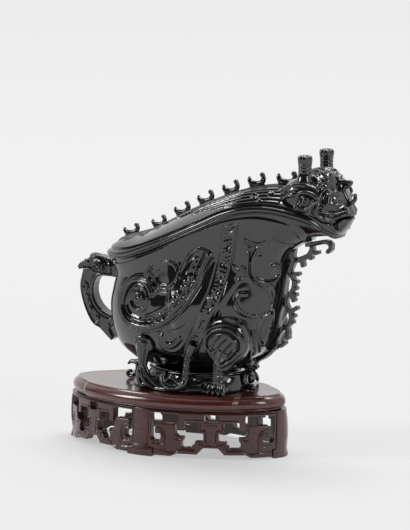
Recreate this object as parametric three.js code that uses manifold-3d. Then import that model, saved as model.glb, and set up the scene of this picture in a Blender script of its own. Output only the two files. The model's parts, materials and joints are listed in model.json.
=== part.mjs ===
// Lidded wine vessel (guang) carved in polished black stone, on its fitted hardwood stand.
// Millimetres, +Z up. The spout points along +X and the handle along -X. Heights of the vessel and
// its lid are counted from vesselDatum, which the stand's top face is level with.
import * as THREE from 'three';
import { mergeVertices } from 'three/addons/utils/BufferGeometryUtils.js';
import Module from 'manifold-3d';

const wasm = await Module();
wasm.setup();

// Driving dimensions: gaps and mesh steps
const seatGap = 0.3;            // clearance between a piece and what carries it
const ovalSteps = 40;           // sides round the bowl, lid and foot
const sectionSteps = 18;        // sides round the head and small round pieces
const edgeBow = 0.03;           // bow of a divided straight edge
const halfOverlap = 0.5;        // how far the two halves of a fret panel run into each other before they join

// Driving dimensions: the stand
const standHeight = 51;         // table to the top face of the board
const boardThickness = 12.3;
const boardHalfLength = 92;     // top face of the board
const boardHalfWidth = 47;
const mouldingBulge = 6;        // how far the rounded edge stands out past the top face
const lobeLength = 22;          // end lobes, set back from the long sides
const lobeSetback = 2;
const apronPastEnd = 6;         // outer face of the fret apron past the top face, at the ends and sides
const apronPastSide = 1;
const apronFlare = 4;           // how far the apron leans out at the foot of the long sides
const apronThickness = 6.5;
const planPower = 1.8;          // superellipse power of the stand's outline
const postHalfWidth = 7;        // plain post between two fret panels, on the long sides
const postSetback = 7.3;        // from the middle of a long side back to its post's middle
const endPostHalfWidth = 9;
const postFootHalfWidth = 12;
const footHeight = 7;
const footShoulder = 1;         // fall of the foot's top edge from the post outwards
const footToe = 1.6;            // how far a foot stands proud of its post
const panelRest = 1.2;          // ground to the lowest edge of a fret panel
const topRail = 2.6;            // height of the fret's top rail
const panelStep = 3.6;          // ground to the panel's edge beside its middle stretch
const panelRise = 9;            // ground to the panel's edge under its middle stretch

// Driving dimensions: the vessel's datum plane, the underside of its foot
const vesselDatum = 51;

// Driving dimensions: the bowl. Each station gives the rear point, the front point and the half width.
const bowlStations = [
  { rear: [-34, 70], front: [52, 70], half: 22 },
  { rear: [-49.5, 81.5], front: [75, 82], half: 31 },
  { rear: [-56.5, 98], front: [87, 98], half: 38 },
  { rear: [-58, 116], front: [92, 119], half: 42 },
  { rear: [-55.5, 131], front: [96, 139], half: 41 },
  { rear: [-53.5, 139.5], front: [99, 156], half: 40 },
  { rear: [-55, 145], front: [106, 169], half: 39.5 },
  { rear: [-58, 149.5], front: [124, 179.3], half: 39.5 },
  { rear: [-60, 153], front: [148, 183], half: 40 },
];
const bowlWall = 5;
const bowlFloor = 8;            // thickness of stone under the cavity
const rimSquareness = 0.8;      // power on the sine: below 1 makes the oval fuller
const seamLine = [[-60, 153], [-45, 153.8], [-29, 157.5], [0, 168.5], [37, 185], [61, 196], [80, 201.5],
  [100, 203], [120, 199.5], [136, 193.3], [148, 183]];

// Driving dimensions: the lid
const lidOverhang = 2.5;        // lid edge past the bowl's rim
const lidBand = 7;              // height of the rounded double edge
const lidThickness = 5;
const skirtDepth = 4;           // locating rim that drops inside the mouth
const skirtClearance = 0.6;
const skirtWall = 3;
const lidFit = 0.25;            // least clearance where the skirt meets the sloping floor of the spout
const spineLine = [[-62.5, 160.5], [-60, 162], [-48, 169], [-18, 179], [3, 190], [26, 201.5], [50, 211.5],
  [72, 218.5], [100, 222], [118, 219], [136, 207], [150.5, 191]];
const hookPlaces = [-45, -17, 4, 27, 51, 74, 98];
const hookWidth = 14;
const hookHeight = 8.5;
const hookBar = 3.4;
const hookThickness = 4.4;

// Driving dimensions: the head of the beast on the lid. Stations run from the neck to the nose.
const headStations = [
  { x: 107, top: 227, bottom: 204, half: 25 },
  { x: 113, top: 231, bottom: 202, half: 28 },
  { x: 122, top: 235.5, bottom: 199, half: 30 },
  { x: 134, top: 238.5, bottom: 190, half: 28 },
  { x: 143, top: 236, bottom: 185, half: 24 },
  { x: 149.5, top: 227, bottom: 185.5, half: 19.5 },
  { x: 154, top: 217.5, bottom: 188.5, half: 15 },
  { x: 158, top: 210, bottom: 193, half: 10.5 },
  { x: 161, top: 204, bottom: 197, half: 5 },
];
const hornX = 126;
const hornY = 18.6;
const hornHeight = 17.3;        // above the head's surface at the horn's middle
const hornRadius = 5.9;
const hornNeck = 4.8;
const hornHeadHeight = 9;
const hornFlare = 1.7;          // height of the flared root that the head's surface cuts
const hornBury = 9;             // length of horn below its flared root, before it is cut by the head
const earLength = 18.5;          // leaf-shaped, pointed towards the face
const earHeight = 13.5;
const earThickness = 5;
const earX = 133;
const earZ = 215.5;
const earTilt = 0.02;
const noseThickness = 5;

// Driving dimensions: the main carved forms, which stand out of the stone. Each ridge has a width, a
// height and a line. On the bowl the line's places are the run round the side, counted from its
// middle towards the spout, and the height. On the lid they are the length and the distance out.
const ridgeRoot = 1.6;          // how deep a ridge is rooted in what carries it
const ridgeStep = 7;            // length of one straight stretch of a ridge
const bowlRidges = [
  { width: 4.4, height: 2.4, line: [[-20.5, 132], [-27, 138.8], [-37, 141.6], [-47, 139], [-52.6, 131],
    [-54, 121], [-50.5, 111.5], [-42.5, 105.2], [-31, 102.8], [-19, 104.2], [-8, 108.6], [2, 116],
    [10.5, 125.5], [16.5, 136], [20.5, 147], [23, 157], [27, 166]] },
  { width: 3.6, height: 2.2, line: [[-37.5, 138], [-30.5, 136.4], [-25, 131], [-23.3, 123.2],
    [-28.2, 117.2], [-35.5, 117.6], [-41, 122.3], [-40.5, 128.3], [-35.5, 130.2]] },
  { width: 6.5, height: 1.4, line: [[-23, 107.5], [-12, 112.5], [-2, 119], [6, 128], [12, 139],
    [15.5, 150], [19, 160]] },
  { width: 2.8, height: 1.6, line: [[-29.3, 152.8], [-32.5, 146.6], [-28.4, 141.1], [-22.2, 136.6],
    [-13.6, 133.4], [-5, 133.9], [0, 138.3], [2.7, 143.8], [3.4, 150.3], [5.5, 158.8]] },
  { width: 9.5, height: 1.9, line: [[39, 188], [41.6, 178], [41.7, 168], [40.2, 158], [38.4, 146],
    [36.6, 134], [33, 122.5], [28.6, 113], [24.5, 105]] },
  { width: 2.8, height: 1.7, line: [[67.2, 175.3], [64.2, 168.5], [62.7, 160.7], [65.1, 151.7],
    [69.5, 146.9], [74.8, 145.5], [80.5, 145.3], [85.4, 147.7], [88.4, 150.9], [87, 156.3]] },
  { width: 2.8, height: 1.6, line: [[59.4, 170.1], [59.6, 160], [60.6, 152.2], [64.8, 146.4],
    [70.8, 141.9], [76.3, 137.3], [79.4, 132.3], [79.7, 126.8]] },
  { width: 3.4, height: 1.7, line: [[61, 136.5], [56.6, 136], [55.5, 131.3], [58.2, 126], [63.5, 122.2],
    [69, 120.6], [74.4, 120.6], [79.3, 124]] },
  { width: 5, height: 1.6, line: [[-9.5, 95.8], [-8, 91.4], [-3.5, 89.2], [1.5, 90.8], [7.1, 96.2]] },
];
const bowlBosses = [
  { run: -36.5, height: 122, length: 13.5, tall: 15.5, rise: 1.6 },
  { run: -11, height: 147.5, length: 9.5, tall: 9.5, rise: 0.9 },
  { run: 86, height: 113, length: 7, tall: 15, rise: 1.2 },
];
const lidRidges = [
  { width: 2.4, height: 0.9, line: [[-50, 4.4], [-20, 4.4], [20, 4.4], [60, 4.4], [100, 4.4]] },
  { width: 3, height: 1.2, line: [[34, 20.5], [52, 22.5], [72, 21.8], [88, 18.5], [101, 15.5]] },
  { width: 3, height: 1.2, line: [[48, 27.4], [62, 29], [78, 28], [92, 25], [101, 22]] },
  { width: 2.6, height: 1.1, line: [[66, 34.2], [78, 34.2], [90, 31.6], [100, 29]] },
];

// Driving dimensions: the foot and the legs. The foot flares from its rim down to its base.
const footX = 12;               // middle of the foot's base
const footHalfLength = 50;
const footHalfWidth = 38;
const footRimX = 18;            // middle of the foot's rim
const footRimHalfLength = 42;
const footRimHalfWidth = 25;
const footRimTop = 67;
const footRimDip = 6;           // fall of the rim from the ends to the sides
const footWall = 4.5;
const footEdge = 3.5;           // height of the plain edge at the base
const haunch = { x: 63, y: 33, z: 99, length: 19.5, depth: 12, height: 23, tilt: 0.35 };
const forePaw = { x: 50, y: 27.5, z: 55.5, length: 10, depth: 7, height: 6 };
const foreShankRadius = 5.6;
const hindHip = { x: -16, y: 30, z: 86, length: 9, depth: 8, height: 11 };
const hindPaw = { x: -12, y: 34, z: 55.5, length: 10.5, depth: 6.5, height: 6 };
const hindShankRadius = 6;
const strutTop = { x: 30, y: 33, z: 94 };
const strutToe = { x: 21.5, y: 30, z: 55 };
const strutRadius = 3.5;

// Driving dimensions: pieces cut from flat plate shapes in the middle plane
const handleThickness = 12;
const flangeThickness = 6;
const footHookThickness = 6;
const footHookReach = 11;       // tips of the foot's hooks past its base

const blackStone = new THREE.MeshStandardMaterial({ color: 0x2b2d2e, roughness: 0.16, metalness: 0 });
const polishedWood = new THREE.MeshStandardMaterial({ color: 0x4c1e1c, roughness: 0.28, metalness: 0 });
const fretWood = new THREE.MeshStandardMaterial({ color: 0x5d3a38, roughness: 0.34, metalness: 0 });

// Solids

function toSolid(geometry) {
  const bare = geometry.clone();
  bare.deleteAttribute('normal');
  bare.deleteAttribute('uv');
  const merged = mergeVertices(bare, 1e-4);
  const triVerts = new Uint32Array(merged.index.array);
  const vertProperties = new Float32Array(merged.attributes.position.array);
  return new wasm.Manifold(new wasm.Mesh({ numProp: 3, vertProperties, triVerts }));
}

function toGeometry(solid) {
  const mesh = solid.getMesh();
  const geometry = new THREE.BufferGeometry();
  geometry.setAttribute('position', new THREE.BufferAttribute(new Float32Array(mesh.vertProperties), 3));
  geometry.setIndex(new THREE.BufferAttribute(new Uint32Array(mesh.triVerts), 1));
  geometry.computeVertexNormals();
  return geometry;
}

function largestPiece(solid) {
  const pieces = solid.decompose();
  pieces.sort((a, b) => b.volume() - a.volume());
  return pieces[0];
}

// A closed skin through rings of points. Each ring has the same number of points; the two ends are
// closed to their own middle, or the last ring joins the first when the skin closes on itself.
function skin(rings, closesOnItself = false) {
  const count = rings[0].length;
  const points = rings.flat().map((p) => [...p]);
  const faces = [];
  const bands = closesOnItself ? rings.length : rings.length - 1;
  for (let i = 0; i < bands; i += 1) {
    const next = (i + 1) % rings.length;
    for (let j = 0; j < count; j += 1) {
      const a = i * count + j;
      const b = i * count + ((j + 1) % count);
      const c = next * count + ((j + 1) % count);
      const d = next * count + j;
      faces.push(a, b, c, a, c, d);
    }
  }
  if (!closesOnItself) {
    for (const [ring, flip] of [[0, true], [rings.length - 1, false]]) {
      const middle = [0, 1, 2].map((k) => rings[ring].reduce((sum, p) => sum + p[k], 0) / count);
      points.push(middle);
      const hub = points.length - 1;
      for (let j = 0; j < count; j += 1) {
        const a = ring * count + j;
        const b = ring * count + ((j + 1) % count);
        faces.push(...(flip ? [hub, b, a] : [hub, a, b]));
      }
    }
  }
  const geometry = new THREE.BufferGeometry();
  geometry.setAttribute('position', new THREE.Float32BufferAttribute(points.flat(), 3));
  geometry.setIndex(faces);
  return geometry;
}

function spline(points) {
  const curve = new THREE.SplineCurve(points.map(([x, y]) => new THREE.Vector2(x, y)));
  return curve;
}

// Height of a line given by points of rising x, smoothed between its points
function lineHeight(points, x) {
  const last = points.length - 1;
  if (x <= points[0][0]) return points[0][1];
  if (x >= points[last][0]) return points[last][1];
  let i = 0;
  while (points[i + 1][0] < x) i += 1;
  const slope = (k) => {
    const lo = Math.max(0, k - 1);
    const hi = Math.min(last, k + 1);
    return (points[hi][1] - points[lo][1]) / (points[hi][0] - points[lo][0]);
  };
  const [x0, z0] = points[i];
  const [x1, z1] = points[i + 1];
  const span = x1 - x0;
  const t = (x - x0) / span;
  const t2 = t * t;
  const t3 = t2 * t;
  return (2 * t3 - 3 * t2 + 1) * z0 + (t3 - 2 * t2 + t) * span * slope(i)
    + (3 * t2 - 2 * t3) * z1 + (t3 - t2) * span * slope(i + 1);
}

const seamHeight = (x) => lineHeight(seamLine, x);
const spineHeight = (x) => lineHeight(spineLine, x);

// The bowl

function bowlStation(level) {
  const at = (pick) => spline(bowlStations.map((s, i) => [i, pick(s)])).getPoint(level).y;
  return {
    rearX: at((s) => s.rear[0]),
    rearZ: at((s) => s.rear[1]),
    frontX: at((s) => s.front[0]),
    frontZ: at((s) => s.front[1]),
    half: at((s) => s.half),
  };
}

const rimStation = bowlStations[bowlStations.length - 1];
const rimMiddle = (rimStation.rear[0] + rimStation.front[0]) / 2;
const rimHalfLength = (rimStation.front[0] - rimStation.rear[0]) / 2;

// One point of the bowl, from its station. Level runs from 0 at the underside to 1 at the rim; grow
// moves the point outwards.
function bowlPoint(s, level, angle, grow) {
  const halfLength = (s.frontX - s.rearX) / 2;
  const sine = Math.sin(angle);
  const across = (1 + grow / halfLength) * Math.cos(angle);
  const y = (s.half + grow) * Math.sign(sine) * Math.abs(sine) ** rimSquareness;
  const share = (1 + across) / 2;
  const chord = rimStation.rear[1] + (rimStation.front[1] - rimStation.rear[1]) * share;
  const bulge = (seamHeight(rimMiddle + rimHalfLength * across) - chord) * level * level;
  const z = s.rearZ + (s.frontZ - s.rearZ) * share + bulge;
  return [(s.rearX + s.frontX) / 2 + halfLength * across, y, z];
}

function bowlRing(level, grow, lift = 0) {
  const s = bowlStation(level);
  const ring = [];
  for (let j = 0; j < ovalSteps; j += 1) {
    const [x, y, z] = bowlPoint(s, level, (j / ovalSteps) * Math.PI * 2, grow);
    ring.push([x, y, z + lift]);
  }
  return ring;
}

const outerLevels = [0, 0.06, 0.125, 0.25, 0.375, 0.5, 0.625, 0.75, 0.8125, 0.875, 0.94, 1];
const innerLevels = [1, 0.94, 0.875, 0.75, 0.625, 0.5, 0.375, 0.25];

function bowl(grow) {
  const inset = -bowlWall - grow;
  const outer = outerLevels.map((level) => bowlRing(level, grow, grow));
  const inner = innerLevels.map((level) => bowlRing(level, inset, grow));
  const floor = bowlRing(innerLevels[innerLevels.length - 1], inset - bowlWall, grow - bowlFloor);
  return toSolid(skin([...outer, ...inner, floor]));
}

function bowlBlank(grow) {
  const above = outerLevels.slice(1).map((level) => bowlRing(level, grow));
  return toSolid(skin([bowlRing(0, grow, -grow), ...above]));
}

// The lid

function lidHalfWidth(x, grow) {
  const share = (x - rimMiddle) / (rimHalfLength + lidOverhang + grow);
  return (rimStation.half + lidOverhang + grow) * Math.max(0, 1 - share * share) ** (rimSquareness / 2);
}

function lidRing(scale, inset, height) {
  const ring = [];
  for (let j = 0; j < ovalSteps; j += 1) {
    const angle = (j / ovalSteps) * Math.PI * 2;
    const sine = Math.sin(angle);
    const out = lidOverhang - inset;
    const x = rimMiddle + scale * (rimHalfLength + out) * Math.cos(angle);
    const y = scale * (rimStation.half + out) * Math.sign(sine) * Math.abs(sine) ** rimSquareness;
    ring.push([x, y, height(x, y)]);
  }
  return ring;
}

function lidTop(x, y, grow) {
  const half = lidHalfWidth(x, grow);
  const share = half > 0 ? Math.min(1, Math.abs(y) / half) : 1;
  const rise = Math.max(0, spineHeight(x) - seamHeight(x) - lidBand);
  return seamHeight(x) + lidBand + rise * (1 - share ** 2.2) ** 0.9 + grow;
}

const lidScales = [1, 0.96, 0.88, 0.76, 0.62, 0.46, 0.28, 0.1];
const hollowScales = [1, 0.86, 0.66, 0.4, 0.12];

function lidShell() {
  const edge = (lift) => (x) => seamHeight(x) + lift;
  const skirtOuter = lidOverhang + bowlWall + skirtClearance;
  const skirtInner = skirtOuter + skirtWall;
  const under = (x, y) => Math.max(
    lidTop(x, y, 0) - lidThickness,
    seamHeight(x) - skirtDepth + 1,
  );
  const rings = [
    lidRing(1, skirtInner, edge(-skirtDepth)),
    lidRing(1, skirtOuter, edge(-skirtDepth)),
    lidRing(1, skirtOuter, edge(seatGap)),
    lidRing(1, 1.2, edge(seatGap)),
    lidRing(1, 0, edge(seatGap + 1.5)),
    lidRing(1, 0, edge(lidBand - 2)),
    ...lidScales.slice(1).map((scale) => lidRing(scale, 0, (x, y) => lidTop(x, y, 0))),
  ];
  const top = toSolid(skin(rings));
  const hollowRings = [
    lidRing(1, skirtInner, edge(-skirtDepth - 2)),
    ...hollowScales.map((scale) => lidRing(scale, skirtInner, under)),
  ];
  const hollow = toSolid(skin(hollowRings));
  return largestPiece(top.subtract(hollow).subtract(bowl(lidFit)));
}

function lidBlank(grow) {
  const rings = [
    lidRing(1, -grow, (x) => seamHeight(x) - skirtDepth - 8),
    lidRing(1, -grow, (x) => seamHeight(x) + lidBand - 2 + grow),
    ...lidScales.slice(1).map((scale) => lidRing(scale, -grow, (x, y) => lidTop(x, y, grow))),
  ];
  return toSolid(skin(rings));
}

// The head of the beast

function headBlank(grow) {
  const rings = headStations.map((s, i) => {
    const middle = (s.top + s.bottom) / 2;
    const tall = (s.top - s.bottom) / 2 + grow;
    const shift = i === 0 ? -grow : i === headStations.length - 1 ? grow : 0;
    const ring = [];
    for (let j = 0; j < sectionSteps; j += 1) {
      const angle = (j / sectionSteps) * Math.PI * 2;
      const c = Math.cos(angle);
      const n = Math.sin(angle);
      const y = (s.half + grow) * Math.sign(c) * Math.abs(c) ** rimSquareness;
      const z = middle + tall * Math.sign(n) * Math.abs(n) ** rimSquareness;
      ring.push([s.x + shift, y, z]);
    }
    return ring;
  });
  return toSolid(skin(rings));
}

// Carved ridges and bosses, made on the near side and mirrored to the far one

const fineLevels = 100;
const fineStations = Array.from({ length: fineLevels + 1 }, (_, i) => bowlStation(i / fineLevels));

// The place on the bowl's near side at a run round it and at a height, as a point of its skin
function sidePoint([run, height]) {
  const step = 0.015 * Math.sign(run || 1);
  const nearSide = -Math.PI / 2;
  let i = Math.round(fineLevels / 2);
  let angle = nearSide;
  for (let pass = 0; pass < 5; pass += 1) {
    angle = nearSide;
    let gone = 0;
    let last = bowlPoint(fineStations[i], i / fineLevels, angle, 0);
    while (gone < Math.abs(run) && Math.abs(angle - nearSide) < Math.PI / 2) {
      angle += step;
      const next = bowlPoint(fineStations[i], i / fineLevels, angle, 0);
      gone += Math.hypot(next[0] - last[0], next[1] - last[1], next[2] - last[2]);
      last = next;
    }
    i = 1;
    while (i < fineLevels - 1 && bowlPoint(fineStations[i], i / fineLevels, angle, 0)[2] < height) i += 1;
  }
  const at = (k, turn) => new THREE.Vector3(...bowlPoint(fineStations[k], k / fineLevels, angle + turn, 0));
  const up = at(i + 1, 0).sub(at(i - 1, 0));
  const along = at(i, 0.01).sub(at(i, -0.01));
  return { point: at(i, 0), normal: along.cross(up).normalize() };
}

// The same on the lid, at a length and a distance out
function lidPoint([x, out]) {
  const at = (dx, dy) => new THREE.Vector3(x + dx, dy - out, lidTop(x + dx, dy - out, 0));
  const along = at(0.5, 0).sub(at(-0.5, 0));
  const across = at(0, 0.5).sub(at(0, -0.5));
  return { point: at(0, 0), normal: along.cross(across).normalize() };
}

// A ridge with a flat crown and sloping sides, along places that a function sets on a surface
function ridge({ width, height, line }, placed) {
  const curve = spline(line);
  const count = Math.max(3, Math.round(curve.getLength() / ridgeStep));
  const spots = curve.getSpacedPoints(count).map((p) => placed([p.x, p.y]));
  const rings = spots.map(({ point, normal }, i) => {
    const before = spots[Math.max(0, i - 1)].point;
    const after = spots[Math.min(count, i + 1)].point;
    const side = after.clone().sub(before).normalize().cross(normal).normalize();
    const end = i === 0 || i === count;
    const crown = end ? height * 0.4 : height;
    const narrow = end ? 0.6 : 1;
    return [[-0.5, -ridgeRoot], [-0.3, crown], [0.3, crown], [0.5, -ridgeRoot]].map(([across, out]) => [
      ...point.clone().addScaledVector(side, across * width * narrow).addScaledVector(normal, out),
    ]);
  });
  return toSolid(skin(rings));
}

// A low round swelling of the bowl's side
function boss({ run, height, length, tall, rise }) {
  const rings = [[1, -ridgeRoot], [0.82, rise * 0.55], [0.45, rise]].map(([share, out]) => {
    const ring = [];
    for (let j = 0; j < sectionSteps; j += 1) {
      const angle = (j / sectionSteps) * Math.PI * 2;
      const place = [run + length * share * Math.cos(angle), height + tall * share * Math.sin(angle)];
      const { point, normal } = sidePoint(place);
      ring.push([...point.addScaledVector(normal, out)]);
    }
    return ring;
  });
  return toSolid(skin(rings));
}

function bothSides(solids) {
  const near = solids.reduce((sum, solid) => sum.add(solid));
  return near.add(near.mirror([0, 1, 0]));
}

function bowlCarving(cutters) {
  const ridges = bowlRidges.map((spec) => ridge(spec, sidePoint));
  let carving = bothSides([...ridges, ...bowlBosses.map(boss)]);
  for (const cutter of cutters) carving = carving.subtract(cutter);
  return carving;
}

function lidCarving() {
  return bothSides(lidRidges.map((spec) => ridge(spec, lidPoint)));
}

// Plates cut from flat outlines in the XZ plane

function plate(outline, thickness, bevel = 0) {
  const shape = new THREE.Shape(outline.map(([x, z]) => new THREE.Vector2(x, z)));
  const geometry = new THREE.ExtrudeGeometry(shape, {
    depth: thickness - 2 * bevel,
    bevelEnabled: bevel > 0,
    bevelThickness: bevel,
    bevelSize: bevel,
    bevelOffset: -bevel,
    bevelSegments: 1,
  });
  geometry.rotateX(Math.PI / 2);
  geometry.translate(0, thickness / 2 - bevel, 0);
  return toSolid(geometry);
}

function smooth(points, steps) {
  const curve = spline(points);
  return curve.getSpacedPoints(steps).map((p) => [p.x, p.y]);
}

function ellipsePoints(x, z, halfX, halfZ, steps, turn = 0) {
  const points = [];
  for (let j = 0; j < steps; j += 1) {
    const angle = (j / steps) * Math.PI * 2;
    const u = halfX * Math.cos(angle);
    const v = halfZ * Math.sin(angle);
    points.push([x + u * Math.cos(turn) - v * Math.sin(turn), z + u * Math.sin(turn) + v * Math.cos(turn)]);
  }
  return points;
}

// One C hook: an arc band from one angle to another, its free end a little thicker
function hookBand(x, z, radius, width, from, to, steps = 9) {
  const outer = [];
  const inner = [];
  for (let j = 0; j <= steps; j += 1) {
    const share = j / steps;
    const angle = from + (to - from) * share;
    const half = (width / 2) * (1 + 0.25 * share);
    outer.push([x + (radius + half) * Math.cos(angle), z + (radius + half) * Math.sin(angle)]);
    inner.push([x + (radius - half) * Math.cos(angle), z + (radius - half) * Math.sin(angle)]);
  }
  return [...outer, ...inner.reverse()];
}

// The handle

function handle(cutter) {
  const back = smooth([[-50, 146.5], [-64, 150.5], [-77, 152], [-83, 148.5], [-90, 145], [-93, 141]], 10);
  const beak = [[-91.5, 138.6], [-87.2, 140]];
  const outer = smooth([[-88.8, 134], [-90.5, 125], [-88, 113], [-84, 103], [-78.5, 94.5], [-72, 91.5]], 10);
  const spur = [[-61, 81.8], [-58.5, 84.6], [-62, 92], [-50, 100]];
  const inner = smooth([[-56, 102.5], [-64, 104], [-71.5, 108.5], [-76.5, 115.5], [-78, 124], [-75.5, 131.5],
    [-70, 135], [-50, 134.6]], 14);
  const solid = plate([...back, ...beak, ...outer, ...spur, ...inner], handleThickness, 1);
  return largestPiece(solid.subtract(cutter));
}

// The pierced flange down the front

// A band of even width along a smooth line, counter-clockwise
function ribbon(points, width) {
  const curve = spline(points);
  const count = Math.max(2, Math.round(curve.getLength() / 3));
  const left = [];
  const right = [];
  for (let i = 0; i <= count; i += 1) {
    const p = curve.getPointAt(i / count);
    const t = curve.getTangentAt(i / count);
    left.push([p.x - (t.y * width) / 2, p.y + (t.x * width) / 2]);
    right.push([p.x + (t.y * width) / 2, p.y - (t.x * width) / 2]);
  }
  return [...right, ...left.reverse()];
}

const vine = [
  { width: 3.7, line: [[138.5, 171.8], [140.9, 174.6], [140.1, 178], [136.4, 179.4], [130.7, 178.3],
    [125, 176.9], [117.7, 175.6]] },
  { width: 3.3, line: [[124.2, 176.4], [123.4, 171.7], [125.9, 169.3], [129.9, 170.4]] },
  { width: 4.4, line: [[123.6, 171.5], [121, 167.1], [116.1, 164.5], [111.2, 162.6], [106, 162.3]] },
  { width: 3.3, line: [[107.9, 163], [105.5, 157], [103.5, 151.7], [104.7, 148.5]] },
  { width: 3, line: [[103.5, 150.4], [107.2, 145.4], [106.8, 139.5], [104.7, 134.9], [106.4, 130.6]] },
  { width: 3.3, line: [[105.8, 136.5], [101.5, 131.7], [99.8, 127.1], [101.5, 122.1], [104.8, 120.2],
    [108.9, 122.7]] },
  { width: 3.3, line: [[103.6, 121.4], [104.8, 115.7], [104, 110.5], [100.7, 106.5], [94, 104.2]] },
  { width: 3.7, line: [[101.4, 107.8], [95.8, 103.9], [92.5, 98.4], [90.1, 92.3], [89.6, 87]] },
  { width: 3, line: [[100.2, 107], [102.4, 103], [101.6, 98.5]] },
  { width: 3.3, line: [[91.5, 98.4], [91.7, 91.6], [95, 90.5], [98.3, 93]] },
  { width: 3.3, line: [[114.5, 164], [115.2, 158.9]] },
  { width: 3.3, line: [[104, 149.8], [108, 151], [110.6, 151]] },
];
const vineKnob = 1.9;
const vineKnobs = [[122.6, 165.2], [115.3, 158.6], [111, 151], [109.4, 144.4], [108.6, 139], [108.4, 133.8],
  [107, 129.4], [109.4, 123], [107, 116.4], [105.7, 111.2], [101.8, 98.2], [98.6, 93.6], [138.2, 171.6]];
const vineStem = [[121, 178], [115.2, 176], [109.2, 172.8], [108.2, 168.2], [107.4, 163], [104.4, 156.9],
  [102.4, 153], [101.2, 147.7], [99.6, 140.2], [98.2, 133], [99.8, 128.6], [97.9, 123.6], [95.4, 117],
  [94.2, 110.3], [92.8, 103], [91.4, 92], [88, 84.4], [82, 88], [84, 110], [88, 140], [92, 170], [112, 184]];

// The flange is a vine: a stem along the bowl, and shoots that leave it, turn back and end in knobs
function spoutFlange(cutter) {
  const shoots = vine.map(({ width, line }) => ribbon(line, width));
  const knobs = vineKnobs.map(([x, z]) => ellipsePoints(x, z, vineKnob, vineKnob, 10));
  const stem = [...vineStem].reverse();
  const outline = new wasm.CrossSection([...shoots, ...knobs, stem], 'NonZero');
  const solid = outline.extrude(flangeThickness, 0, 0, [1, 1], true).rotate([90, 0, 0]);
  return largestPiece(solid.subtract(cutter));
}

// Small hooked flanges at the two ends of the foot

function footHooks(facing, cutters) {
  const tipX = footX + facing * (footHalfLength + footHookReach);
  const base = vesselDatum + seatGap;
  const placed = (points) => {
    const moved = points.map(([x, z]) => [tipX + facing * x, base + z]);
    return facing > 0 ? moved : moved.reverse();
  };
  const stem = plate(placed([[-26, 0], [-3, 0], [-1.5, 1.5], [-6.5, 4.5], [-6.5, 12.5], [-2, 14.5], [0.5, 18],
    [-3, 24], [-8, 22], [-14, 17], [-26, 15]]), footHookThickness);
  const curl = plate(placed(hookBand(-4.6, 8.6, 3.6, 2.8, Math.PI * 1.1, Math.PI * 0.1)), footHookThickness);
  let solid = stem.add(curl);
  for (const cutter of cutters) solid = solid.subtract(cutter);
  return largestPiece(solid);
}

// Legs, on the near side when side is -1 and on the far side when it is 1

function ellipsoid(spec, side) {
  const geometry = new THREE.SphereGeometry(1, 14, 9);
  geometry.scale(spec.length, spec.depth, spec.height);
  if (spec.tilt) geometry.rotateY(spec.tilt);
  geometry.translate(spec.x, side * spec.y, spec.z);
  return toSolid(geometry);
}

function taper(from, to, radiusFrom, radiusTo, side, steps = 10) {
  const start = new THREE.Vector3(from.x, side * from.y, from.z);
  const end = new THREE.Vector3(to.x, side * to.y, to.z);
  const along = end.clone().sub(start);
  const geometry = new THREE.CylinderGeometry(radiusTo, radiusFrom, along.length(), steps, 1);
  geometry.applyQuaternion(new THREE.Quaternion().setFromUnitVectors(
    new THREE.Vector3(0, 1, 0),
    along.clone().normalize(),
  ));
  const middle = start.add(end).multiplyScalar(0.5);
  geometry.translate(middle.x, middle.y, middle.z);
  return toSolid(geometry);
}

// The slab of space that the flange down the front takes, with a gap
function flangeSlab() {
  const [fromX, toX] = [bowlStations[1].front[0], rimStation.front[0] * 1.1];
  const slab = new THREE.BoxGeometry(toX - fromX, flangeThickness + 2 * seatGap, rimStation.front[1]);
  slab.translate((fromX + toX) / 2, 0, vesselDatum + rimStation.front[1] / 2);
  return toSolid(slab);
}

// Everything that reaches below the stand's top face is cut off a gap above it
function groundBlock() {
  const depth = vesselDatum;
  const block = new THREE.BoxGeometry(boardHalfLength * 3, boardHalfWidth * 3, depth);
  block.translate(0, 0, vesselDatum + seatGap - depth / 2);
  return toSolid(block);
}

function foreLeg(side, cutters) {
  const knee = { x: haunch.x - 7, y: haunch.y - 3, z: haunch.z - 15 };
  const shank = taper(knee, forePaw, foreShankRadius * 1.6, foreShankRadius, side);
  let leg = ellipsoid(haunch, side).add(shank).add(ellipsoid(forePaw, side));
  for (const cutter of cutters) leg = leg.subtract(cutter);
  return largestPiece(leg);
}

function hindLeg(side, cutters) {
  const shank = taper(hindHip, hindPaw, hindShankRadius * 1.2, hindShankRadius, side);
  let leg = ellipsoid(hindHip, side).add(shank).add(ellipsoid(hindPaw, side));
  for (const cutter of cutters) leg = leg.subtract(cutter);
  return largestPiece(leg);
}

function serpentStrut(side, cutters) {
  const toe = ellipsoid({
    ...strutToe,
    length: strutRadius * 1.6,
    depth: strutRadius * 1.3,
    height: strutRadius * 1.15,
  }, side);
  let strut = taper(strutTop, strutToe, strutRadius * 1.25, strutRadius, side, 8).add(toe);
  for (const cutter of cutters) strut = strut.subtract(cutter);
  return largestPiece(strut);
}

// The foot ring, open in the middle. Share runs from 0 at the base to 1 at the rim.
function footOval(share, inset, z) {
  const middle = footX + (footRimX - footX) * share;
  const halfLength = footHalfLength + (footRimHalfLength - footHalfLength) * share - inset;
  const halfWidth = footHalfWidth + (footRimHalfWidth - footHalfWidth) * share - inset;
  const ring = [];
  for (let j = 0; j < ovalSteps; j += 1) {
    const angle = (j / ovalSteps) * Math.PI * 2;
    const dip = footRimDip * share * Math.sin(angle) ** 2;
    ring.push([middle + halfLength * Math.cos(angle), halfWidth * Math.sin(angle), z - dip]);
  }
  return ring;
}

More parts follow.
